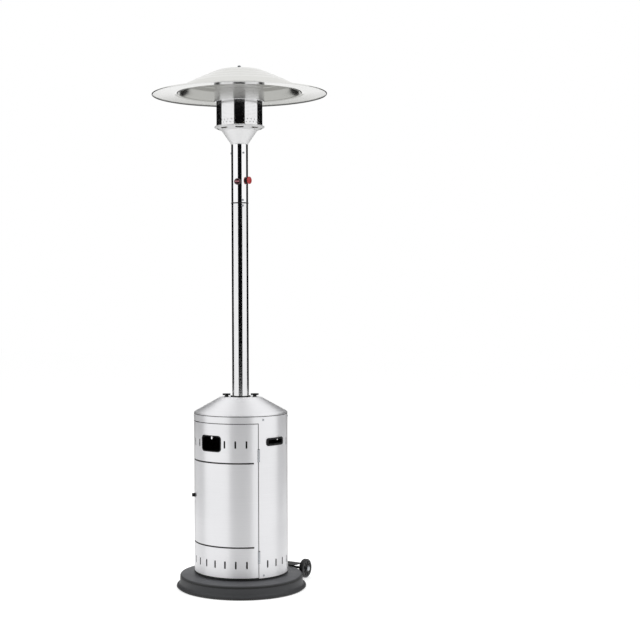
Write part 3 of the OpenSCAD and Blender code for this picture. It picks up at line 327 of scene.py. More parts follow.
def vary(tree, shader, base, noise, spread):
    """Varies the shader's colour lightly by a noise, between base darkened and base lightened."""
    low = [c * (1 - spread) for c in base[:3]] + [1]
    high = [min(1, c * (1 + spread)) for c in base[:3]] + [1]
    mix = node_of(tree, "ShaderNodeMix", {0: noise}, data_type="RGBA")
    mix.inputs[6].default_value, mix.inputs[7].default_value = low, high
    tree.links.new(mix.outputs[2], shader.inputs["Base Color"])


def lay_over(tree, shader, share, tone):
    """Lays a tone over the shader's present colour, as far as the share says."""
    mix = node_of(tree, "ShaderNodeMix", {0: share}, data_type="RGBA")
    tree.links.new(shader.inputs["Base Color"].links[0].from_socket, mix.inputs[6])
    mix.inputs[7].default_value = tone
    tree.links.new(mix.outputs[2], shader.inputs["Base Color"])


def bump_into(tree, shader, height, distance, strength=1.0):
    """Feeds a height in metres times distance into the shader's normal."""
    bump = node_of(tree, "ShaderNodeBump", {"Height": height}, Strength=strength, Distance=distance)
    tree.links.new(bump.outputs["Normal"], shader.inputs["Normal"])


def stretched_noise(tree, place, scale, detail=2.0):
    """Noise over the Object coordinates, stretched by a scale for each axis in waves a metre."""
    spread = node_of(tree, "ShaderNodeMapping", {"Vector": place}, Scale=scale)
    source = {"Vector": spread.outputs["Vector"]}
    return node_of(tree, "ShaderNodeTexNoise", source, Scale=1.0, Detail=detail).outputs["Fac"]


def remap(tree, value, low, high, to_low, to_high):
    """Carries a value from one range to another."""
    n = node_of(tree, "ShaderNodeMapRange", {"Value": value})
    for socket, v in zip(("From Min", "From Max", "To Min", "To Max"), (low, high, to_low, to_high)):
        n.inputs[socket].default_value = v
    return n.outputs["Result"]


def within(tree, value, low, high, edge):
    """1 where a value lies between low and high and 0 elsewhere, with edges of the given width."""
    above = remap(tree, value, low, low + edge, 0, 1)
    below = remap(tree, value, high, high + edge, 1, 0)
    return node_of(tree, "ShaderNodeMath", {0: above, 1: below}, operation="MULTIPLY").outputs[0]


def radial_distance(tree, place):
    """Distance of a point from the mast's axis."""
    flat = node_of(tree, "ShaderNodeVectorMath", {0: place}, operation="MULTIPLY")
    flat.inputs[1].default_value = (1, 1, 0)
    reach = node_of(tree, "ShaderNodeVectorMath", {0: flat.outputs["Vector"]}, operation="LENGTH")
    return reach.outputs["Value"]


def height_of(tree, place):
    """Height of a point over the floor."""
    return node_of(tree, "ShaderNodeSeparateXYZ", {"Vector": place}).outputs["Z"]


def grain_round_mast(tree, shader, amount):
    """Lets the grain run round the mast, so that it draws reflections out across itself."""
    shader.inputs["Anisotropic"].default_value = amount
    shader.inputs["Anisotropic Rotation"].default_value = 0.25
    tangent = node_of(tree, "ShaderNodeTangent", direction_type="RADIAL", axis="Z")
    tree.links.new(tangent.outputs["Tangent"], shader.inputs["Tangent"])


def brushed_sheet(name, base, roughness=0.4, anisotropic=0.85, inside_shade_r=None):
    """Brushed stainless sheet: belt-ground level grain, 0.8 mm apart, that draws reflections out upwards.

    Nearer to the mast than the given radius it is painted dark, as painted shade inside the housing.
    """
    m, tree, shader, place = new_material(name)
    grain = stretched_noise(tree, place, (9, 9, 1300), detail=3)
    cloud = stretched_noise(tree, place, (3.5, 3.5, 5), detail=1)
    vary(tree, shader, base, grain, 0.05)
    satin = remap(tree, cloud, 0.3, 0.7, roughness - 0.03, roughness + 0.04)
    tree.links.new(satin, shader.inputs["Roughness"])
    shader.inputs["Metallic"].default_value = 1
    grain_round_mast(tree, shader, anisotropic)
    bump_into(tree, shader, grain, 0.04 * MM, 0.6)
    if inside_shade_r:
        # Painted shade: the sheet's inner faces are darkened
        edge = 0.2 * MM
        back = remap(tree, radial_distance(tree, place), inside_shade_r - edge, inside_shade_r + edge, 1, 0)
        lay_over(tree, shader, back, linear("#3c3b3a"))
    return m


def polished_tube(name, base, roughness=0.045):
    """Polished stainless: mirror bright, with faint buffing haze in soft level bands 2 cm apart."""
    m, tree, shader, place = new_material(name)
    haze = stretched_noise(tree, place, (9, 9, 50), detail=1)
    vary(tree, shader, base, haze, 0.015)
    tree.links.new(remap(tree, haze, 0.3, 0.7, roughness, roughness + 0.02), shader.inputs["Roughness"])
    shader.inputs["Metallic"].default_value = 1
    return m


def spun_aluminium(name, base, dulled=None):
    """Spun aluminium: satin, with fine rings 1 mm apart from the spinning tool.

    Where a shade tone is given, it is painted shade inside the pressed ridge, and the sheet is left
    glossier outside. The open seam inside the rolled rim is painted dark, as painted shade.
    """
    m, tree, shader, place = new_material(name)
    far = radial_distance(tree, place)
    ring = node_of(tree, "ShaderNodeCombineXYZ", {"X": far})
    source = {"Vector": ring.outputs["Vector"]}
    rings = node_of(tree, "ShaderNodeTexNoise", source, Scale=900.0, Detail=3.0).outputs["Fac"]
    cloud = stretched_noise(tree, place, (7, 7, 7), detail=2)
    vary(tree, shader, base, rings, 0.05)
    satin = remap(tree, cloud, 0.3, 0.7, 0.2, 0.28)
    # Painted shade inside the pressed ridge
    if dulled:
        ridge = bpy.context.scene.heater_reflector.ridge
        inside_ridge = remap(tree, far, ridge - 5 * MM, ridge - 3 * MM, 1, 0)
        lay_over(tree, shader, inside_ridge, dulled)
        gloss = remap(tree, inside_ridge, 0, 1, 0.5, 1)
        satin = node_of(tree, "ShaderNodeMath", {0: satin, 1: gloss}, operation="MULTIPLY").outputs[0]
    tree.links.new(satin, shader.inputs["Roughness"])
    # Painted shade: the open seam inside the rolled rim is darkened
    edge, seam_z = 0.2 * MM, RIM_LOW.z + 2.6 * MM
    low = remap(tree, height_of(tree, place), seam_z, seam_z + edge, 1, 0)
    rim = within(tree, far, RIM_HIGH.x - 5.4 * MM, RIM_HIGH.x - 1.8 * MM, edge)
    seam = node_of(tree, "ShaderNodeMath", {0: low, 1: rim}, operation="MULTIPLY").outputs[0]
    lay_over(tree, shader, seam, linear("#2a2a29"))
    shader.inputs["Metallic"].default_value = 1
    grain_round_mast(tree, shader, 0.4)
    bump_into(tree, shader, rings, 0.06 * MM, 0.5)
    return m


def grained_plastic(name, base, grain_mm, depth_mm, roughness, gloss_spread=0.06, sheen=0.5):
    """Moulded plastic or paint: a grain of the given size, and slight flow clouds in its gloss."""
    m, tree, shader, place = new_material(name)
    per_metre = 1 / (grain_mm * MM)
    grain = stretched_noise(tree, place, (per_metre,) * 3, detail=2)
    cloud = stretched_noise(tree, place, (14, 14, 14), detail=2)
    vary(tree, shader, base, cloud, 0.12)
    gloss = remap(tree, cloud, 0.3, 0.7, roughness - gloss_spread, roughness + gloss_spread)
    tree.links.new(gloss, shader.inputs["Roughness"])
    shader.inputs["IOR"].default_value = 1.5
    shader.inputs["Specular IOR Level"].default_value = sheen
    bump_into(tree, shader, grain, depth_mm * MM, 0.7)
    return m


def base_moulding(name, base, top_face_light):
    """Grained plastic: top face painted lighter as lit from above; foot, groove and gaps painted black as
    shade.
    """
    m = grained_plastic(name, base, 1.6, 0.18, 0.52)
    tree = m.node_tree
    shader = tree.nodes["Principled BSDF"]
    z = height_of(tree, tree.nodes.new("ShaderNodeTexCoord").outputs["Object"])
    # Painted light: the top face is paler, as if lit from above
    lay_over(tree, shader, remap(tree, z, TOP_FACE_Z - MM, TOP_FACE_Z, 0, 1), top_face_light)
    # Painted shade: a contact shadow at the foot, and shade in the groove and in the gap under the housing
    painted_shade = remap(tree, z, FOOT_H / 2, FOOT_H, 1, 0)
    for low, high in (GROOVE, LEDGE_GAP):
        band = within(tree, z, low, high, 0.5 * MM)
        painted_shade = node_of(tree, "ShaderNodeMath", {0: painted_shade, 1: band}, operation="MAXIMUM").outputs[0]
    lay_over(tree, shader, painted_shade, linear("#0c0c0c"))
    return m


def plated_steel(name, base):
    """Zinc plated steel: mottled by its crystals, 6 mm wide, with fine rolling lines."""
    m, tree, shader, place = new_material(name)
    cells = node_of(tree, "ShaderNodeTexVoronoi", {"Vector": place}, Scale=1 / (6 * MM))
    shade = node_of(tree, "ShaderNodeSeparateColor", {"Color": cells.outputs["Color"]})
    lines = stretched_noise(tree, place, (60, 60, 1100), detail=2)
    vary(tree, shader, base, shade.outputs[0], 0.07)
    tree.links.new(remap(tree, shade.outputs[1], 0, 1, 0.25, 0.37), shader.inputs["Roughness"])
    shader.inputs["Metallic"].default_value = 1
    bump_into(tree, shader, lines, 0.03 * MM, 0.4)
    return m


def cast_metal(name, base, grain_mm, depth_mm, roughness, metallic=1.0):
    """Cast or turned metal: grain of the given size over soft clouds of tone."""
    m, tree, shader, place = new_material(name)
    grain = stretched_noise(tree, place, (1 / (grain_mm * MM),) * 3, detail=4)
    cloud = stretched_noise(tree, place, (20, 20, 20), detail=2)
    vary(tree, shader, base, cloud, 0.14)
    worn = remap(tree, grain, 0.3, 0.7, roughness - 0.06, roughness + 0.08)
    tree.links.new(worn, shader.inputs["Roughness"])
    shader.inputs["Metallic"].default_value = metallic
    bump_into(tree, shader, grain, depth_mm * MM, 0.6)
    return m


def heat_tinted(name, base):
    """Burner steel: straw and blue temper colours in clouds, over a dull sheet."""
    m, tree, shader, place = new_material(name)
    cloud = stretched_noise(tree, place, (30, 30, 60), detail=3)
    ramp = node_of(tree, "ShaderNodeValToRGB", {"Fac": cloud})
    low, high = ramp.color_ramp.elements
    low.position, low.color = 0.36, linear("#6f6a72")
    high.position, high.color = 0.64, base
    straw = ramp.color_ramp.elements.new(0.5)
    straw.color = linear("#9d8664")
    tree.links.new(ramp.outputs["Color"], shader.inputs["Base Color"])
    tree.links.new(remap(tree, cloud, 0.3, 0.7, 0.34, 0.5), shader.inputs["Roughness"])
    shader.inputs["Metallic"].default_value = 1
    bump_into(tree, shader, cloud, 0.1 * MM, 0.3)
    return m


FINISHES = {}


def finish_of(name):
    """A material of the heater by its short name; all are made at the first call."""
    if not FINISHES:
        c = bpy.context.scene.heater_finishes
        FINISHES.update(
            # Housing sheet, painted dark inside as shade
            housing=brushed_sheet("brushed_stainless_sheet", c.housing, inside_shade_r=INSIDE_SHADE_R),
            mast=polished_tube("polished_stainless_tube", c.mast, 0.1),
            control=polished_tube("mirror_stainless_tube", c.control),
            head=polished_tube("polished_stainless_head", c.head, 0.09),
            hood=brushed_sheet("satin_stainless_hood", c.hood, 0.25, 0.7),
            funnel=brushed_sheet("satin_stainless_funnel", c.control, 0.62, 0.0),
            cone=brushed_sheet("satin_stainless_cone", c.cone, 0.5, 0.6),
            aluminium=spun_aluminium("spun_satin_aluminium", c.aluminium),
            # Reflector underside: lighter base tone as a painted highlight, painted shade inside the ridge
            dulled=spun_aluminium("heat_dulled_aluminium", c.bright, c.dulled),
            # Base moulding with painted light on its top face and painted shade below
            base=base_moulding("grained_black_polypropylene", c.base, c.top_face_light),
            black=grained_plastic("black_moulded_nylon", c.black, 0.9, 0.05, 0.45, sheen=0.2),
            wheel=grained_plastic("glossy_black_polypropylene", c.wheel, 2.5, 0.02, 0.22, 0.04),
            maroon=grained_plastic("dark_red_phenolic", c.maroon, 1.2, 0.02, 0.2, 0.04),
            # Paler red on the knob's grip bar, a painted highlight
            pointer=grained_plastic("knob_bar_highlight", c.pointer, 1.2, 0.01, 0.4, 0.04),
            red=grained_plastic("red_nylon", c.red, 1.2, 0.02, 0.3, 0.04),
            zinc=plated_steel("zinc_plated_steel", c.zinc),
            iron=cast_metal("rough_cast_iron", c.iron, 1.8, 0.4, 0.7, 0.6),
            brass=cast_metal("turned_brass", c.brass, 0.6, 0.04, 0.28),
            copper=cast_metal("drawn_copper", c.copper, 0.8, 0.02, 0.25),
            burner=heat_tinted("heat_tinted_steel", c.burner),
            paint=grained_plastic("black_painted_steel", c.paint, 1.1, 0.04, 0.5, sheen=0.2),
        )
    return FINISHES[name]


# Surfaces


def lathe(profile, columns):
    """A closed profile of radius and height turned round the mast: each point swept through a circle."""
    profile = np.asarray(profile, float)
    phi = np.linspace(0, 2 * np.pi, columns, endpoint=False)
    points = polar(phi[None, :], profile[:, :1], profile[:, 1:])
    return points, grid_faces(len(profile), columns, wrap_rows=True)


def smoothstep(low, high, x):
    """0 below low, 1 above high, and 3t^2 - 2t^3 between, t being the share of the way."""
    t = np.clip((x - low) / (high - low), 0, 1)
    return t * t * (3 - 2 * t)


def screw_head(radius, height, rows=14, columns=48):
    """A domed head with a cross recess, about +Z.

    Height is h(1 - s^2)^0.5 over the share s of the radius, less a recess whose depth falls off
    over 0.2 of the radius beyond an arm's half width, and ends at 0.62 of the radius.
    """
    s = np.linspace(0, 1, rows)[:, None] ** 0.8
    a = np.linspace(0, 2 * np.pi, columns, endpoint=False)[None, :]
    x, y = s * np.cos(a), s * np.sin(a)
    near, far = np.minimum(abs(x), abs(y)), np.maximum(abs(x), abs(y))
    cross = (1 - smoothstep(0.09, 0.2, near)) * (1 - smoothstep(0.5, 0.62, far))
    dome = height * (0.35 + 0.65 * np.sqrt(np.clip(1 - s**2, 0, 1)))
    top = np.stack(np.broadcast_arrays(radius * x, radius * y, dome - 0.55 * height * cross), axis=-1)
    skirt = np.stack(
        np.broadcast_arrays(radius * np.cos(a), radius * np.sin(a), np.zeros_like(a)), axis=-1
    )
    seat = skirt * [0, 0, 1]
    points = np.concatenate([top, skirt, seat])
    return points, grid_faces(rows + 2, columns)


def knob_surface(radius, depth, flutes, rows=26, columns=216):
    """A round knob about +Z: fluted skirt, drawn-in waist, crowned top with a raised grip bar.

    The radius of the skirt is R(1 - 0.03 + 0.03 cos(n a)); the bar rises where |y| is under 0.2 R.
    """
    a = np.linspace(0, 2 * np.pi, columns, endpoint=False)[None, :]
    side = np.array([[0.97, 0], [1, 0.03], [1, 0.16], [0.97, 0.2], [0.9, 0.34], [0.86, 0.52], [0.82, 0.62]])
    flute = 1 - 0.03 * (1 - np.cos(flutes * a)) * 0.5
    walls = np.stack(
        np.broadcast_arrays(
            radius * side[:, :1] * flute * np.cos(a),
            radius * side[:, :1] * flute * np.sin(a),
            depth * side[:, 1:],
        ),
        axis=-1,
    )
    s = np.linspace(0.79, 0, rows)[:, None]
    x, y = radius * s * np.cos(a), radius * s * np.sin(a)
    bar = 1 - smoothstep(0.14 * radius, 0.24 * radius, abs(y))
    reach = 1 - smoothstep(0.70 * radius, 0.78 * radius, abs(x))
    cap = depth * (0.66 + 0.04 * (1 - (s / 0.8) ** 2) + 0.30 * bar * reach)
    top = np.stack(np.broadcast_arrays(x, y, cap), axis=-1)
    back = walls[:1] * [0, 0, 1]
    points = np.concatenate([back, walls, top])
    return points, grid_faces(points.shape[0], columns)


def node_mid(node, phi):
    """How near and how far from the mast a round node lies along an angle, its height and its radius."""
    co = np.array([v.co for v in frame["nodes"][node].data.vertices])
    r = co[:, 0] * math.sin(phi) - co[:, 1] * math.cos(phi)
    low, high = co[:, 2].min(), co[:, 2].max()
    return r.min(), r.max(), (low + high) / 2, (high - low) / 2


class HEATER_OT_stage(bpy.types.Operator):
    """Floor, reflecting cards, lamps, world and camera of the studio."""

    bl_idname = "heater.stage"
    bl_label = "Studio"

    def execute(self, context):
        scene = context.scene
        s = scene.heater_studio
        scene.view_settings.view_transform = "Standard"
        self.camera(scene, s)
        self.floor(scene, s)
        self.world(scene, s)
        self.cards(scene, s)
        self.lamps(scene, s)
        return {"FINISHED"}

    def camera(self, scene, s):
        """The camera looks level but for its tilt, which puts the horizon in its row."""
        data = bpy.data.cameras.new("camera")
        data.sensor_width = SENSOR_MM
        data.lens = s.focal_px * SENSOR_MM / IMAGE_PX
        data.clip_end = 100
        cam = bpy.data.objects.new("camera", data)
        scene.collection.objects.link(cam)
        out = Vector((math.sin(s.azimuth), -math.cos(s.azimuth), 0))
        cam.location = out * s.distance + Vector((0, 0, s.height))
        tilt = math.atan((IMAGE_PX / 2 - s.horizon_px) / s.focal_px)
        aim = -out * math.cos(tilt) + Vector((0, 0, -math.sin(tilt)))
        data.shift_x = (IMAGE_PX / 2 - s.mast_px) / IMAGE_PX
        cam.rotation_mode = "QUATERNION"
        cam.rotation_quaternion = aim.to_track_quat("-Z", "Y") @ Quaternion((0, 0, 1), s.roll)
        scene.camera = cam

    def floor(self, scene, s):
        """A white floor that takes shadows, and shows one even tone in reflections."""
        mesh = bpy.data.meshes.new("floor")
        half = 15.0
        mesh.from_pydata(
            [(-half, -half, 0), (half, -half, 0), (half, half, 0), (-half, half, 0)], [], [(0, 1, 2, 3)]
        )
        floor = bpy.data.objects.new("floor", mesh)
        scene.collection.objects.link(floor)
        m = bpy.data.materials.new("white_studio_floor")
        m.use_nodes = True
        tree = m.node_tree
        tree.nodes.remove(tree.nodes["Principled BSDF"])
        diffuse = node_of(tree, "ShaderNodeBsdfDiffuse", Color=(0.8, 0.8, 0.8, 1))
        path = node_of(tree, "ShaderNodeLightPath")
        lift = node_of(tree, "ShaderNodeMath", {0: path.outputs["Is Camera Ray"]}, operation="MULTIPLY")
        lift.inputs[1].default_value = 0.5
        glow = node_of(tree, "ShaderNodeEmission", {"Strength": lift.outputs[0]}, Color=(1, 1, 1, 1))
        both = node_of(tree, "ShaderNodeAddShader", {0: diffuse.outputs[0], 1: glow.outputs[0]})
        tone = node_of(tree, "ShaderNodeEmission", Color=(1, 1, 1, 1), Strength=s.floor)
        choice = {0: path.outputs["Is Glossy Ray"], 1: both.outputs[0], 2: tone.outputs[0]}
        pick = node_of(tree, "ShaderNodeMixShader", choice)
        tree.links.new(pick.outputs[0], tree.nodes["Material Output"].inputs["Surface"])
        mesh.materials.append(m)

    def world(self, scene, s):
        """Even light from all round, white wherever it is seen, reflected or looked through."""
        world = bpy.data.worlds.new("studio")
        scene.world = world
        world.use_nodes = True
        tree = world.node_tree
        back = tree.nodes["Background"]
        back.inputs["Color"].default_value = (1, 1, 1, 1)
        path = node_of(tree, "ShaderNodeLightPath").outputs
        seen = path["Is Camera Ray"]
        for ray in ("Is Glossy Ray", "Is Transmission Ray"):
            either = node_of(tree, "ShaderNodeMath", {0: seen, 1: path[ray]}, operation="MAXIMUM")
            seen = either.outputs[0]
        strength = remap(tree, seen, 0, 1, s.world, 1.0)
        tree.links.new(strength, back.inputs["Strength"])

    def card(self, scene, name, tone, low, high, radii, heights):
        """A card between two angles round the heater, seen only in reflections.

        One edge has the first radius and height, the other one the second, so that equal radii
        make it stand and equal heights make it lie.
        """
        mesh = bpy.data.meshes.new(name)
        phi = np.linspace(low, high, 25)[None, :]
        points = polar(phi, np.array(radii)[:, None], np.array(heights)[:, None])
        mesh.from_pydata(points.reshape(-1, 3).tolist(), [], grid_faces(2, 25, wrap_columns=False).tolist())
        card = bpy.data.objects.new(name, mesh)
        scene.collection.objects.link(card)
        m = bpy.data.materials.new(name)
        m.use_nodes = True
        tree = m.node_tree
        tree.nodes.remove(tree.nodes["Principled BSDF"])
        glow = node_of(tree, "ShaderNodeEmission", Color=linear(tone), Strength=1.0)
        tree.links.new(glow.outputs[0], tree.nodes["Material Output"].inputs["Surface"])
        mesh.materials.append(m)
        card.visible_camera = card.visible_diffuse = card.visible_shadow = False

    def cards(self, scene, s):
        """Black cards for the dark bands on the polished steel, and a paler strip of floor behind."""
        for name, tone, low, high, radii, heights in (
            ("dark_card_front", "#0a0a0b", -0.47, 0.47, (4.6, 4.6), (0.35, 4.2)),
            ("dark_flag_left", "#101011", -2.98, -1.73, (3.8, 3.8), (0.5, 2.8)),
            ("dark_flag_right", "#101011", 1.73, 2.98, (3.8, 3.8), (0.5, 2.8)),
            ("pale_floor_far_behind", "#c6c6c4", math.pi - 0.5, math.pi + 0.5, (0.7, 12.5), (0.002, 0.002)),
        ):
            self.card(scene, name, tone, s.azimuth + low, s.azimuth + high, radii, heights)

    def lamps(self, scene, s):
        """Soft lamps 4 m from the mast that light plastics and paint, and don't show in the steel."""
        reach, aim = 4.0, Vector((0, 0, 1.1))
        for name, turn, height, energy, size in (
            ("key", -0.9, 3.4, 60, 1.6),
            ("fill", 1.0, 2.8, 40, 1.8),
            ("top", 2.8, 4.6, 50, 2.4),
        ):
            data = bpy.data.lights.new(name, "AREA")
            data.energy, data.size = energy, size
            lamp = bpy.data.objects.new(name, data)
            scene.collection.objects.link(lamp)
            out = Vector((math.sin(s.azimuth + turn), -math.cos(s.azimuth + turn), 0))
            lamp.location = out * reach + Vector((0, 0, height))
            lamp.rotation_mode = "QUATERNION"
            lamp.rotation_quaternion = (aim - lamp.location).to_track_quat("-Z", "Y")
            lamp.visible_glossy = False


class HEATER_OT_housing(bpy.types.Operator):
    """Brushed housing, door, sloping top and what is fastened to them."""

    bl_idname = "heater.housing"
    bl_label = "Housing and door"

    def execute(self, context):
        dress(finish_of("housing"), "housing_shell", "door_panel", "hinge_jamb", "latch_jamb")
        dress(finish_of("cone"), "housing_top")
        # Painted shade: a black strip where the seam of top and shell lies in shadow
        self.seam_shade_strip()
        dress(finish_of("zinc"), "shell_feet", "strike_plate", "mast_plate", "hinge_fixed_leaves",
              "hinge_pins", "hinge_door_leaves", "hinge_screws", "latch_cam")
        dress(finish_of("black"), "side_grips", "window_trim", "guide_collar", "left_wing_screw",
              "right_wing_screw", "latch_knob")
        return {"FINISHED"}

    def seam_shade_strip(self):
        """A black strip that paints the shadow in the seam of top and shell: a small rectangle turned round
        the mast.
        """
        r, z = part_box("housing_top")[1].x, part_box("housing_shell")[1].z
        section = [[r + 0.3 * MM, z - 2.4 * MM], [r + 0.3 * MM, z], [r - 0.4 * MM, z + 0.2 * MM],
                   [r - 0.4 * MM, z - 2.6 * MM]]
        points, faces = lathe(section, 240)
        make_piece("seam_shade_strip", points, faces, "housing_shell", finish_of("black"),
                   instead=False)


class HEATER_OT_base(bpy.types.Operator):
    """Grained base, its ballast, the wheel bracket and the axle."""

    bl_idname = "heater.base"
    bl_label = "Base"

    def execute(self, context):
        dress(finish_of("base"), "base_cover")
        dress(finish_of("zinc"), "base_plate", "base_screws", "bracket_screws", "axle_caps")
        dress(finish_of("iron"), "ballast_slab")
        dress(finish_of("paint"), "wheel_bracket", "wheel_axle")
        return {"FINISHED"}


class HEATER_OT_wheels(bpy.types.Operator):
    """Two moulded wheels with ribbed sides and a grooved tread."""

    bl_idname = "heater.wheels"
    bl_label = "Wheels"

    def execute(self, context):
        for node in ("left_wheel", "right_wheel"):
            low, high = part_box(node)
            mid, half, r = (low + high) / 2, (high.x - low.x) / 2, (high.z - low.z) / 2
            points, faces = self.wheel(r, half)
            place = np.stack([points[..., 2], points[..., 0], points[..., 1]], axis=-1)
            make_piece(node.replace("_wheel", "_wheel_moulding"), place + np.array(mid), faces, node,
                       finish_of("wheel"))
        return {"FINISHED"}

    def wheel(self, r, half, columns=240):
        """A wheel about +Z. Its outline runs from the bore over the side, the tread and back.

        The outline's heights are shares of the wheel's half width.
        Ten ribs lift the dished sides by 2.6 mm where cos(10 a) is near 1, and 40 cross
        grooves cut 0.9 mm into the tread where cos(40 a) is near 1.
        """
        bore = 5.05 * MM
        side = np.array([
            [bore, 1], [14 * MM, 1], [15 * MM, 0.97], [16 * MM, 0.66], [17.5 * MM, 0.62],
            [r - 12 * MM, 0.62], [r - 10.5 * MM, 0.66], [r - 9 * MM, 0.9], [r - 4 * MM, 0.9],
            [r - 2 * MM, 0.82], [r - 0.6 * MM, 0.7], [r, 0.52], [r, 0.3], [r, 0.16],
            [r - 1.2 * MM, 0.12], [r - 1.2 * MM, 0],
        ])
        outline = np.concatenate([side * [1, half], (side * [1, -half])[::-1][1:]])
        a = np.linspace(0, 2 * np.pi, columns, endpoint=False)[None, :]
        rad, z = outline[:, :1], outline[:, 1:]
        dished = smoothstep(15.5 * MM, 17 * MM, rad) * (1 - smoothstep(r - 12 * MM, r - 10 * MM, rad))
        rib = smoothstep(0.7, 0.9, np.cos(10 * a))
        lift = np.sign(z) * 2.6 * MM * dished * rib
        tread = smoothstep(r - 0.4 * MM, r - 0.1 * MM, rad)
        cut = 0.9 * MM * tread * smoothstep(0.75, 0.95, np.cos(40 * a))
        points = np.stack(
            np.broadcast_arrays((rad - cut) * np.cos(a), (rad - cut) * np.sin(a), z + lift), axis=-1
        )
        return points, grid_faces(len(outline), columns, wrap_rows=True)


class HEATER_OT_mast(bpy.types.Operator):
    """Polished mast with its joint, the gas train inside and the controls' bodies."""

    bl_idname = "heater.mast"
    bl_label = "Mast"

    def execute(self, context):
        dress(finish_of("mast"), "mast_tube")
        dress(finish_of("control"), "control_tube")
        dress(finish_of("zinc"), "foot_flange", "joint_sleeve", "valve_stem")
        dress(finish_of("black"), "trim_ring", "igniter_body", "tilt_switch")
        dress(finish_of("brass"), "valve_body", "inlet_nipple")
        dress(finish_of("copper"), "gas_pipe")
        return {"FINISHED"}


class HEATER_OT_controls(bpy.types.Operator):
    """Control knob and igniter button."""

    bl_idname = "heater.controls"
    bl_label = "Knob and button"

    def execute(self, context):
        s = context.scene.heater_controls
        low, high, z, radius = node_mid("control_knob", s.knob_angle)
        points, faces = knob_surface(radius, high - low, s.flutes)
        knob = make_piece("fluted_control_knob", along(points, s.knob_angle, low, z), faces, "control_knob",
                          finish_of("maroon"))
        # Painted highlight: faces on the grip bar's top take the paler red
        knob.data.materials.append(finish_of("pointer"))
        mid = np.empty(3 * len(knob.data.polygons))
        knob.data.polygons.foreach_get("center", mid)
        out = mid.reshape(-1, 3) @ np.array([math.sin(s.knob_angle), -math.cos(s.knob_angle), 0.0])
        highlighted = out > low + BAR_HIGHLIGHT_SHARE * (high - low)
        knob.data.polygons.foreach_set("material_index", highlighted.astype(int))
        low, high, z, radius = node_mid("igniter_button", s.button_angle)
        points, faces = self.button(radius, 5 * MM, high - low)
        make_piece("igniter_cap", along(points, s.button_angle, low, z), faces, "igniter_button",
                   finish_of("red"))
        return {"FINISHED"}

    def button(self, radius, stem, depth, columns=96):
        """A plunger under a mushroom cap about +Z: an outline of stem, rim and dome, turned round it.

        The dome's height is 5 mm times the sine of the way from rim to middle, with a ring groove.
        """
        rim = depth - 8 * MM
        t = np.linspace(0, np.pi / 2, 16)
        dome = np.stack([radius * np.cos(t), depth - 5 * MM + 5 * MM * np.sin(t)], axis=-1)
        dome[:, 1] -= 0.5 * MM * np.exp(-(((dome[:, 0] - 0.72 * radius) / (0.05 * radius)) ** 2))
        outline = np.concatenate([
            [[0, 0], [stem, 0], [stem, rim], [radius - 0.8 * MM, rim], [radius, rim + 0.8 * MM]], dome,
        ])
        a = np.linspace(0, 2 * np.pi, columns, endpoint=False)[None, :]
        x, y = outline[:, :1] * np.cos(a), outline[:, :1] * np.sin(a)
        points = np.stack(np.broadcast_arrays(x, y, outline[:, 1:]), axis=-1)
        return points, grid_faces(len(outline), columns)


class HEATER_OT_head(bpy.types.Operator):
    """Burner head: funnel, air ring, perforated screen, hood and burner."""

    bl_idname = "heater.head"
    bl_label = "Burner head"

    def execute(self, context):
        dress(finish_of("funnel"), "head_funnel", "air_ring")
        dress(finish_of("hood"), "hood_ring", "hood_cap")
        dress(finish_of("burner"), "burner_tray", "burner_tube", "burner_plate", "pilot_burner")
        s = context.scene.heater_screen
        points, faces = self.perforated(s, SCREEN_LOW.z, SCREEN_HIGH.z)
        make_piece("perforated_screen", points, faces, "glow_screen", finish_of("head"),
                   sharp=50)
        return {"FINISHED"}

    def perforated(self, s, low, high, sides=8):
        """A closed tube wall of square cells, each with a round hole through it.

        A cell's ring runs from its square's edge to the circle at the same angles, through the
        wall and back to the square: on the square the reach is 1 / max(|cos t|, |sin t|) half
        pitches. Every third cell of the two low rows has the larger hole. Plain bands close the ends.
        """
        around = 3 * int(round(2 * np.pi * s.radius / s.pitch / 3))
        plain = 4 * MM
        rows = int((high - low - 2 * plain) / s.pitch)
        tall = (high - low - 2 * plain) / rows
        wide = 2 * np.pi * s.radius / around
        t = np.linspace(0, 2 * np.pi, sides, endpoint=False)
        reach = 0.5 / np.maximum(abs(np.cos(t)), abs(np.sin(t)))
        square = np.stack([reach * np.cos(t) * wide, reach * np.sin(t) * tall], axis=-1)
        circle = np.stack([np.cos(t), np.sin(t)], axis=-1)
        i, j = np.meshgrid(np.arange(rows), np.arange(around), indexing="ij")
        large = ((i == 1) & (j % 3 == 0)) | ((i == 3) & (j % 3 == 1))
        hole = np.where(large, s.air_hole, s.hole)[..., None, None] / 2
        centre = np.stack([j * wide, low + plain + (i + 0.5) * tall], axis=-1)[:, :, None, :]
        edge, rim = centre + square, centre + hole * circle
        flat = np.stack([edge, rim, rim, edge], axis=2)
        radii = np.broadcast_to(
            (s.radius - s.sheet * np.array([0, 0, 1, 1]))[:, None], flat.shape[:-1]
        )
        cells = polar(flat[..., 0] / s.radius, radii, flat[..., 1])
        starts = np.arange(rows * around)[:, None, None] * 4 * sides
        parts = [(cells, (starts + grid_faces(4, sides)[None]).reshape(-1, 4))]
        phi = (np.arange(2 * around) - 1) * wide / 2 / s.radius
        for end, inner in ((low, low + plain), (high, high - plain)):
            r = s.radius - s.sheet * np.array([[0], [0], [1], [1]])
            z = np.array([[inner], [end], [end], [inner]])
            parts.append((polar(phi[None, :], r, z), grid_faces(4, 2 * around)))
        return joined(parts)


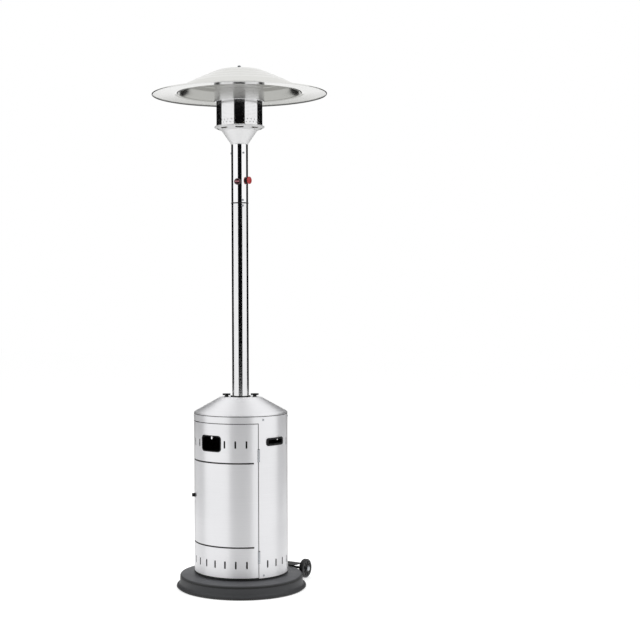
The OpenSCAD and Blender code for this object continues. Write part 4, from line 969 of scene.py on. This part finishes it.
class HEATER_OT_reflector(bpy.types.Operator):
    """Spun reflector dish with its pressed steps, rings and rolled rim, and its fasteners."""

    bl_idname = "heater.reflector"
    bl_label = "Reflector"

    def execute(self, context):
        s = context.scene.heater_reflector
        points, faces = lathe(self.outline(s), 288)
        dish = make_piece("spun_reflector", points, faces, "reflector", finish_of("aluminium"),
                          sharp=60)
        # Faces turned down take the underside finish, with its painted highlight and painted shade
        dish.data.materials.append(finish_of("dulled"))
        up = np.empty(3 * len(dish.data.polygons))
        dish.data.polygons.foreach_get("normal", up)
        dish.data.polygons.foreach_set("material_index", (up[2::3] < 0).astype(int))
        dress(finish_of("zinc"), "reflector_studs", "reflector_nuts")
        return {"FINISHED"}

    def height(self, s, r):
        """Height of the dish's upper face over its rim at the radii r.

        A parabola for the crown, a straight slope with three rings of (1 - t^2)^2 shape, an
        S-curve down the step, a small ridge of the same ring shape, and a flat ring that falls
        evenly to the rim.
        """
        top, slope_r = RIM_HIGH.z - RIM_LOW.z, s.ridge - 36 * MM
        crown_drop, slope_z, ridge_z, rim_z = 11 * MM, 43 * MM, 7 * MM, 4 * MM
        crown = top - crown_drop * np.clip(r / s.crown, 0, 1) ** 2
        slope = (top - crown_drop - slope_z) * np.clip((r - s.crown) / (slope_r - s.crown), 0, 1)
        step = (slope_z - ridge_z) * smoothstep(slope_r - 6 * MM, s.ridge - 4 * MM, r)
        ring = (ridge_z - rim_z) * np.clip((r - s.ridge) / (s.radius - s.ridge), 0, 1)
        z = crown - slope - step - ring
        for share in (0.25, 0.5, 0.75):
            t = np.clip((r - slope_r - (s.crown - slope_r) * share) / (5 * MM), -1, 1)
            z = z + s.ring * (1 - t**2) ** 2
        t = np.clip((r - s.ridge) / (7 * MM), -1, 1)
        return z + 2 * MM * (1 - t**2) ** 2

    def outline(self, s):
        """The sheet's section: upper face from the middle out, the rolled edge, lower face back."""
        roll = 2.5 * MM
        r = np.linspace(0, s.radius - 6 * MM, 150)
        face = np.stack([r, RIM_LOW.z + self.height(s, r)], axis=-1)
        t = np.radians(np.arange(140, -186, -25))
        edge = np.stack([s.radius - roll + roll * np.cos(t), RIM_LOW.z + roll + roll * np.sin(t)], axis=-1)
        return np.concatenate([face, edge, (face - [0, s.sheet])[::-1]])


class HEATER_OT_screws(bpy.types.Operator):
    """Domed cross-recess screws of the housing and the mast."""

    bl_idname = "heater.screws"
    bl_label = "Screws"

    def execute(self, context):
        for node, head, height in (
            ("shell_screws", 4.5 * MM, 2 * MM), ("joint_screws", 5 * MM, 3.5 * MM),
            ("head_screws", 4.5 * MM, 3 * MM),
        ):
            parts = [self.one(co, head, height) for co in self.solids(node)]
            points, faces = joined(parts)
            make_piece("cross_" + node, points, faces, node, finish_of("zinc"))
        return {"FINISHED"}

    def solids(self, node):
        """Point sets of a node's separate solids, by walking its merged mesh."""
        work = bmesh.new()
        work.from_mesh(frame["nodes"][node].data)
        bmesh.ops.remove_doubles(work, verts=work.verts, dist=1e-6)
        left, found = set(work.verts), []
        while left:
            group, todo = set(), [left.pop()]
            while todo:
                v = todo.pop()
                group.add(v)
                near = [e.other_vert(v) for e in v.link_edges]
                todo += [w for w in near if w in left]
                left.difference_update(near)
            found.append(np.array([v.co for v in group]))
        work.free()
        return found

    def one(self, co, head, height):
        """A screw along the radius of its solid: domed head outside, shank to the solid's inner end."""
        mid = (co.max(0) + co.min(0)) / 2
        phi = math.atan2(mid[0], -mid[1])
        r = co[:, 0] * math.sin(phi) - co[:, 1] * math.cos(phi)
        seat = r.max() - height
        dome, faces = screw_head(head, height)
        shank_r, shank_l, gap = 2.0 * MM, seat - r.min(), 0.01 * MM
        a = np.linspace(0, 2 * np.pi, 24, endpoint=False)[None, :]
        rings = np.array([[0.0, -gap], [shank_r, -gap], [shank_r, -shank_l], [0.0, -shank_l]])
        x, y = rings[:, :1] * np.cos(a), rings[:, :1] * np.sin(a)
        shank = np.stack(np.broadcast_arrays(x, y, rings[:, 1:]), axis=-1)
        z = (co[:, 2].max() + co[:, 2].min()) / 2
        points, quads = joined([(dome, faces), (shank, grid_faces(4, 24))])
        return along(points, phi, seat, z), quads


class HEATER_PT_panel(bpy.types.Panel):
    """Lists the heater's steps and settings in the sidebar."""

    bl_idname = "HEATER_PT_panel"
    bl_label = "Patio heater"
    bl_space_type = "VIEW_3D"
    bl_region_type = "UI"
    bl_category = "Heater"

    def draw(self, context):
        for step in STEPS:
            self.layout.operator(step.bl_idname)
        for group in GROUPS:
            box = self.layout.box()
            settings = getattr(context.scene, group)
            for key in settings.bl_rna.properties.keys():
                if key not in ("rna_type", "name"):
                    box.prop(settings, key)


STEPS = (
    HEATER_OT_stage, HEATER_OT_housing, HEATER_OT_base, HEATER_OT_wheels, HEATER_OT_mast,
    HEATER_OT_controls, HEATER_OT_head, HEATER_OT_reflector, HEATER_OT_screws,
)
GROUPS = {
    "heater_finishes": HeaterFinishes,
    "heater_reflector": HeaterReflector,
    "heater_screen": HeaterScreen,
    "heater_controls": HeaterControls,
    "heater_studio": HeaterStudio,
}


def register():
    """Registers the settings, the steps and the panel."""
    for name, group in GROUPS.items():
        bpy.utils.register_class(group)
        setattr(bpy.types.Scene, name, bpy.props.PointerProperty(type=group))
    for step in STEPS:
        bpy.utils.register_class(step)
    bpy.utils.register_class(HEATER_PT_panel)


def unregister():
    """Removes what register added."""
    bpy.utils.unregister_class(HEATER_PT_panel)
    for step in reversed(STEPS):
        bpy.utils.unregister_class(step)
    for name, group in GROUPS.items():
        delattr(bpy.types.Scene, name)
        bpy.utils.unregister_class(group)


def main():
    register()
    for step in STEPS:
        family, name = step.bl_idname.split(".")
        getattr(getattr(bpy.ops, family), name)()


if __name__ == "__main__":
    main()
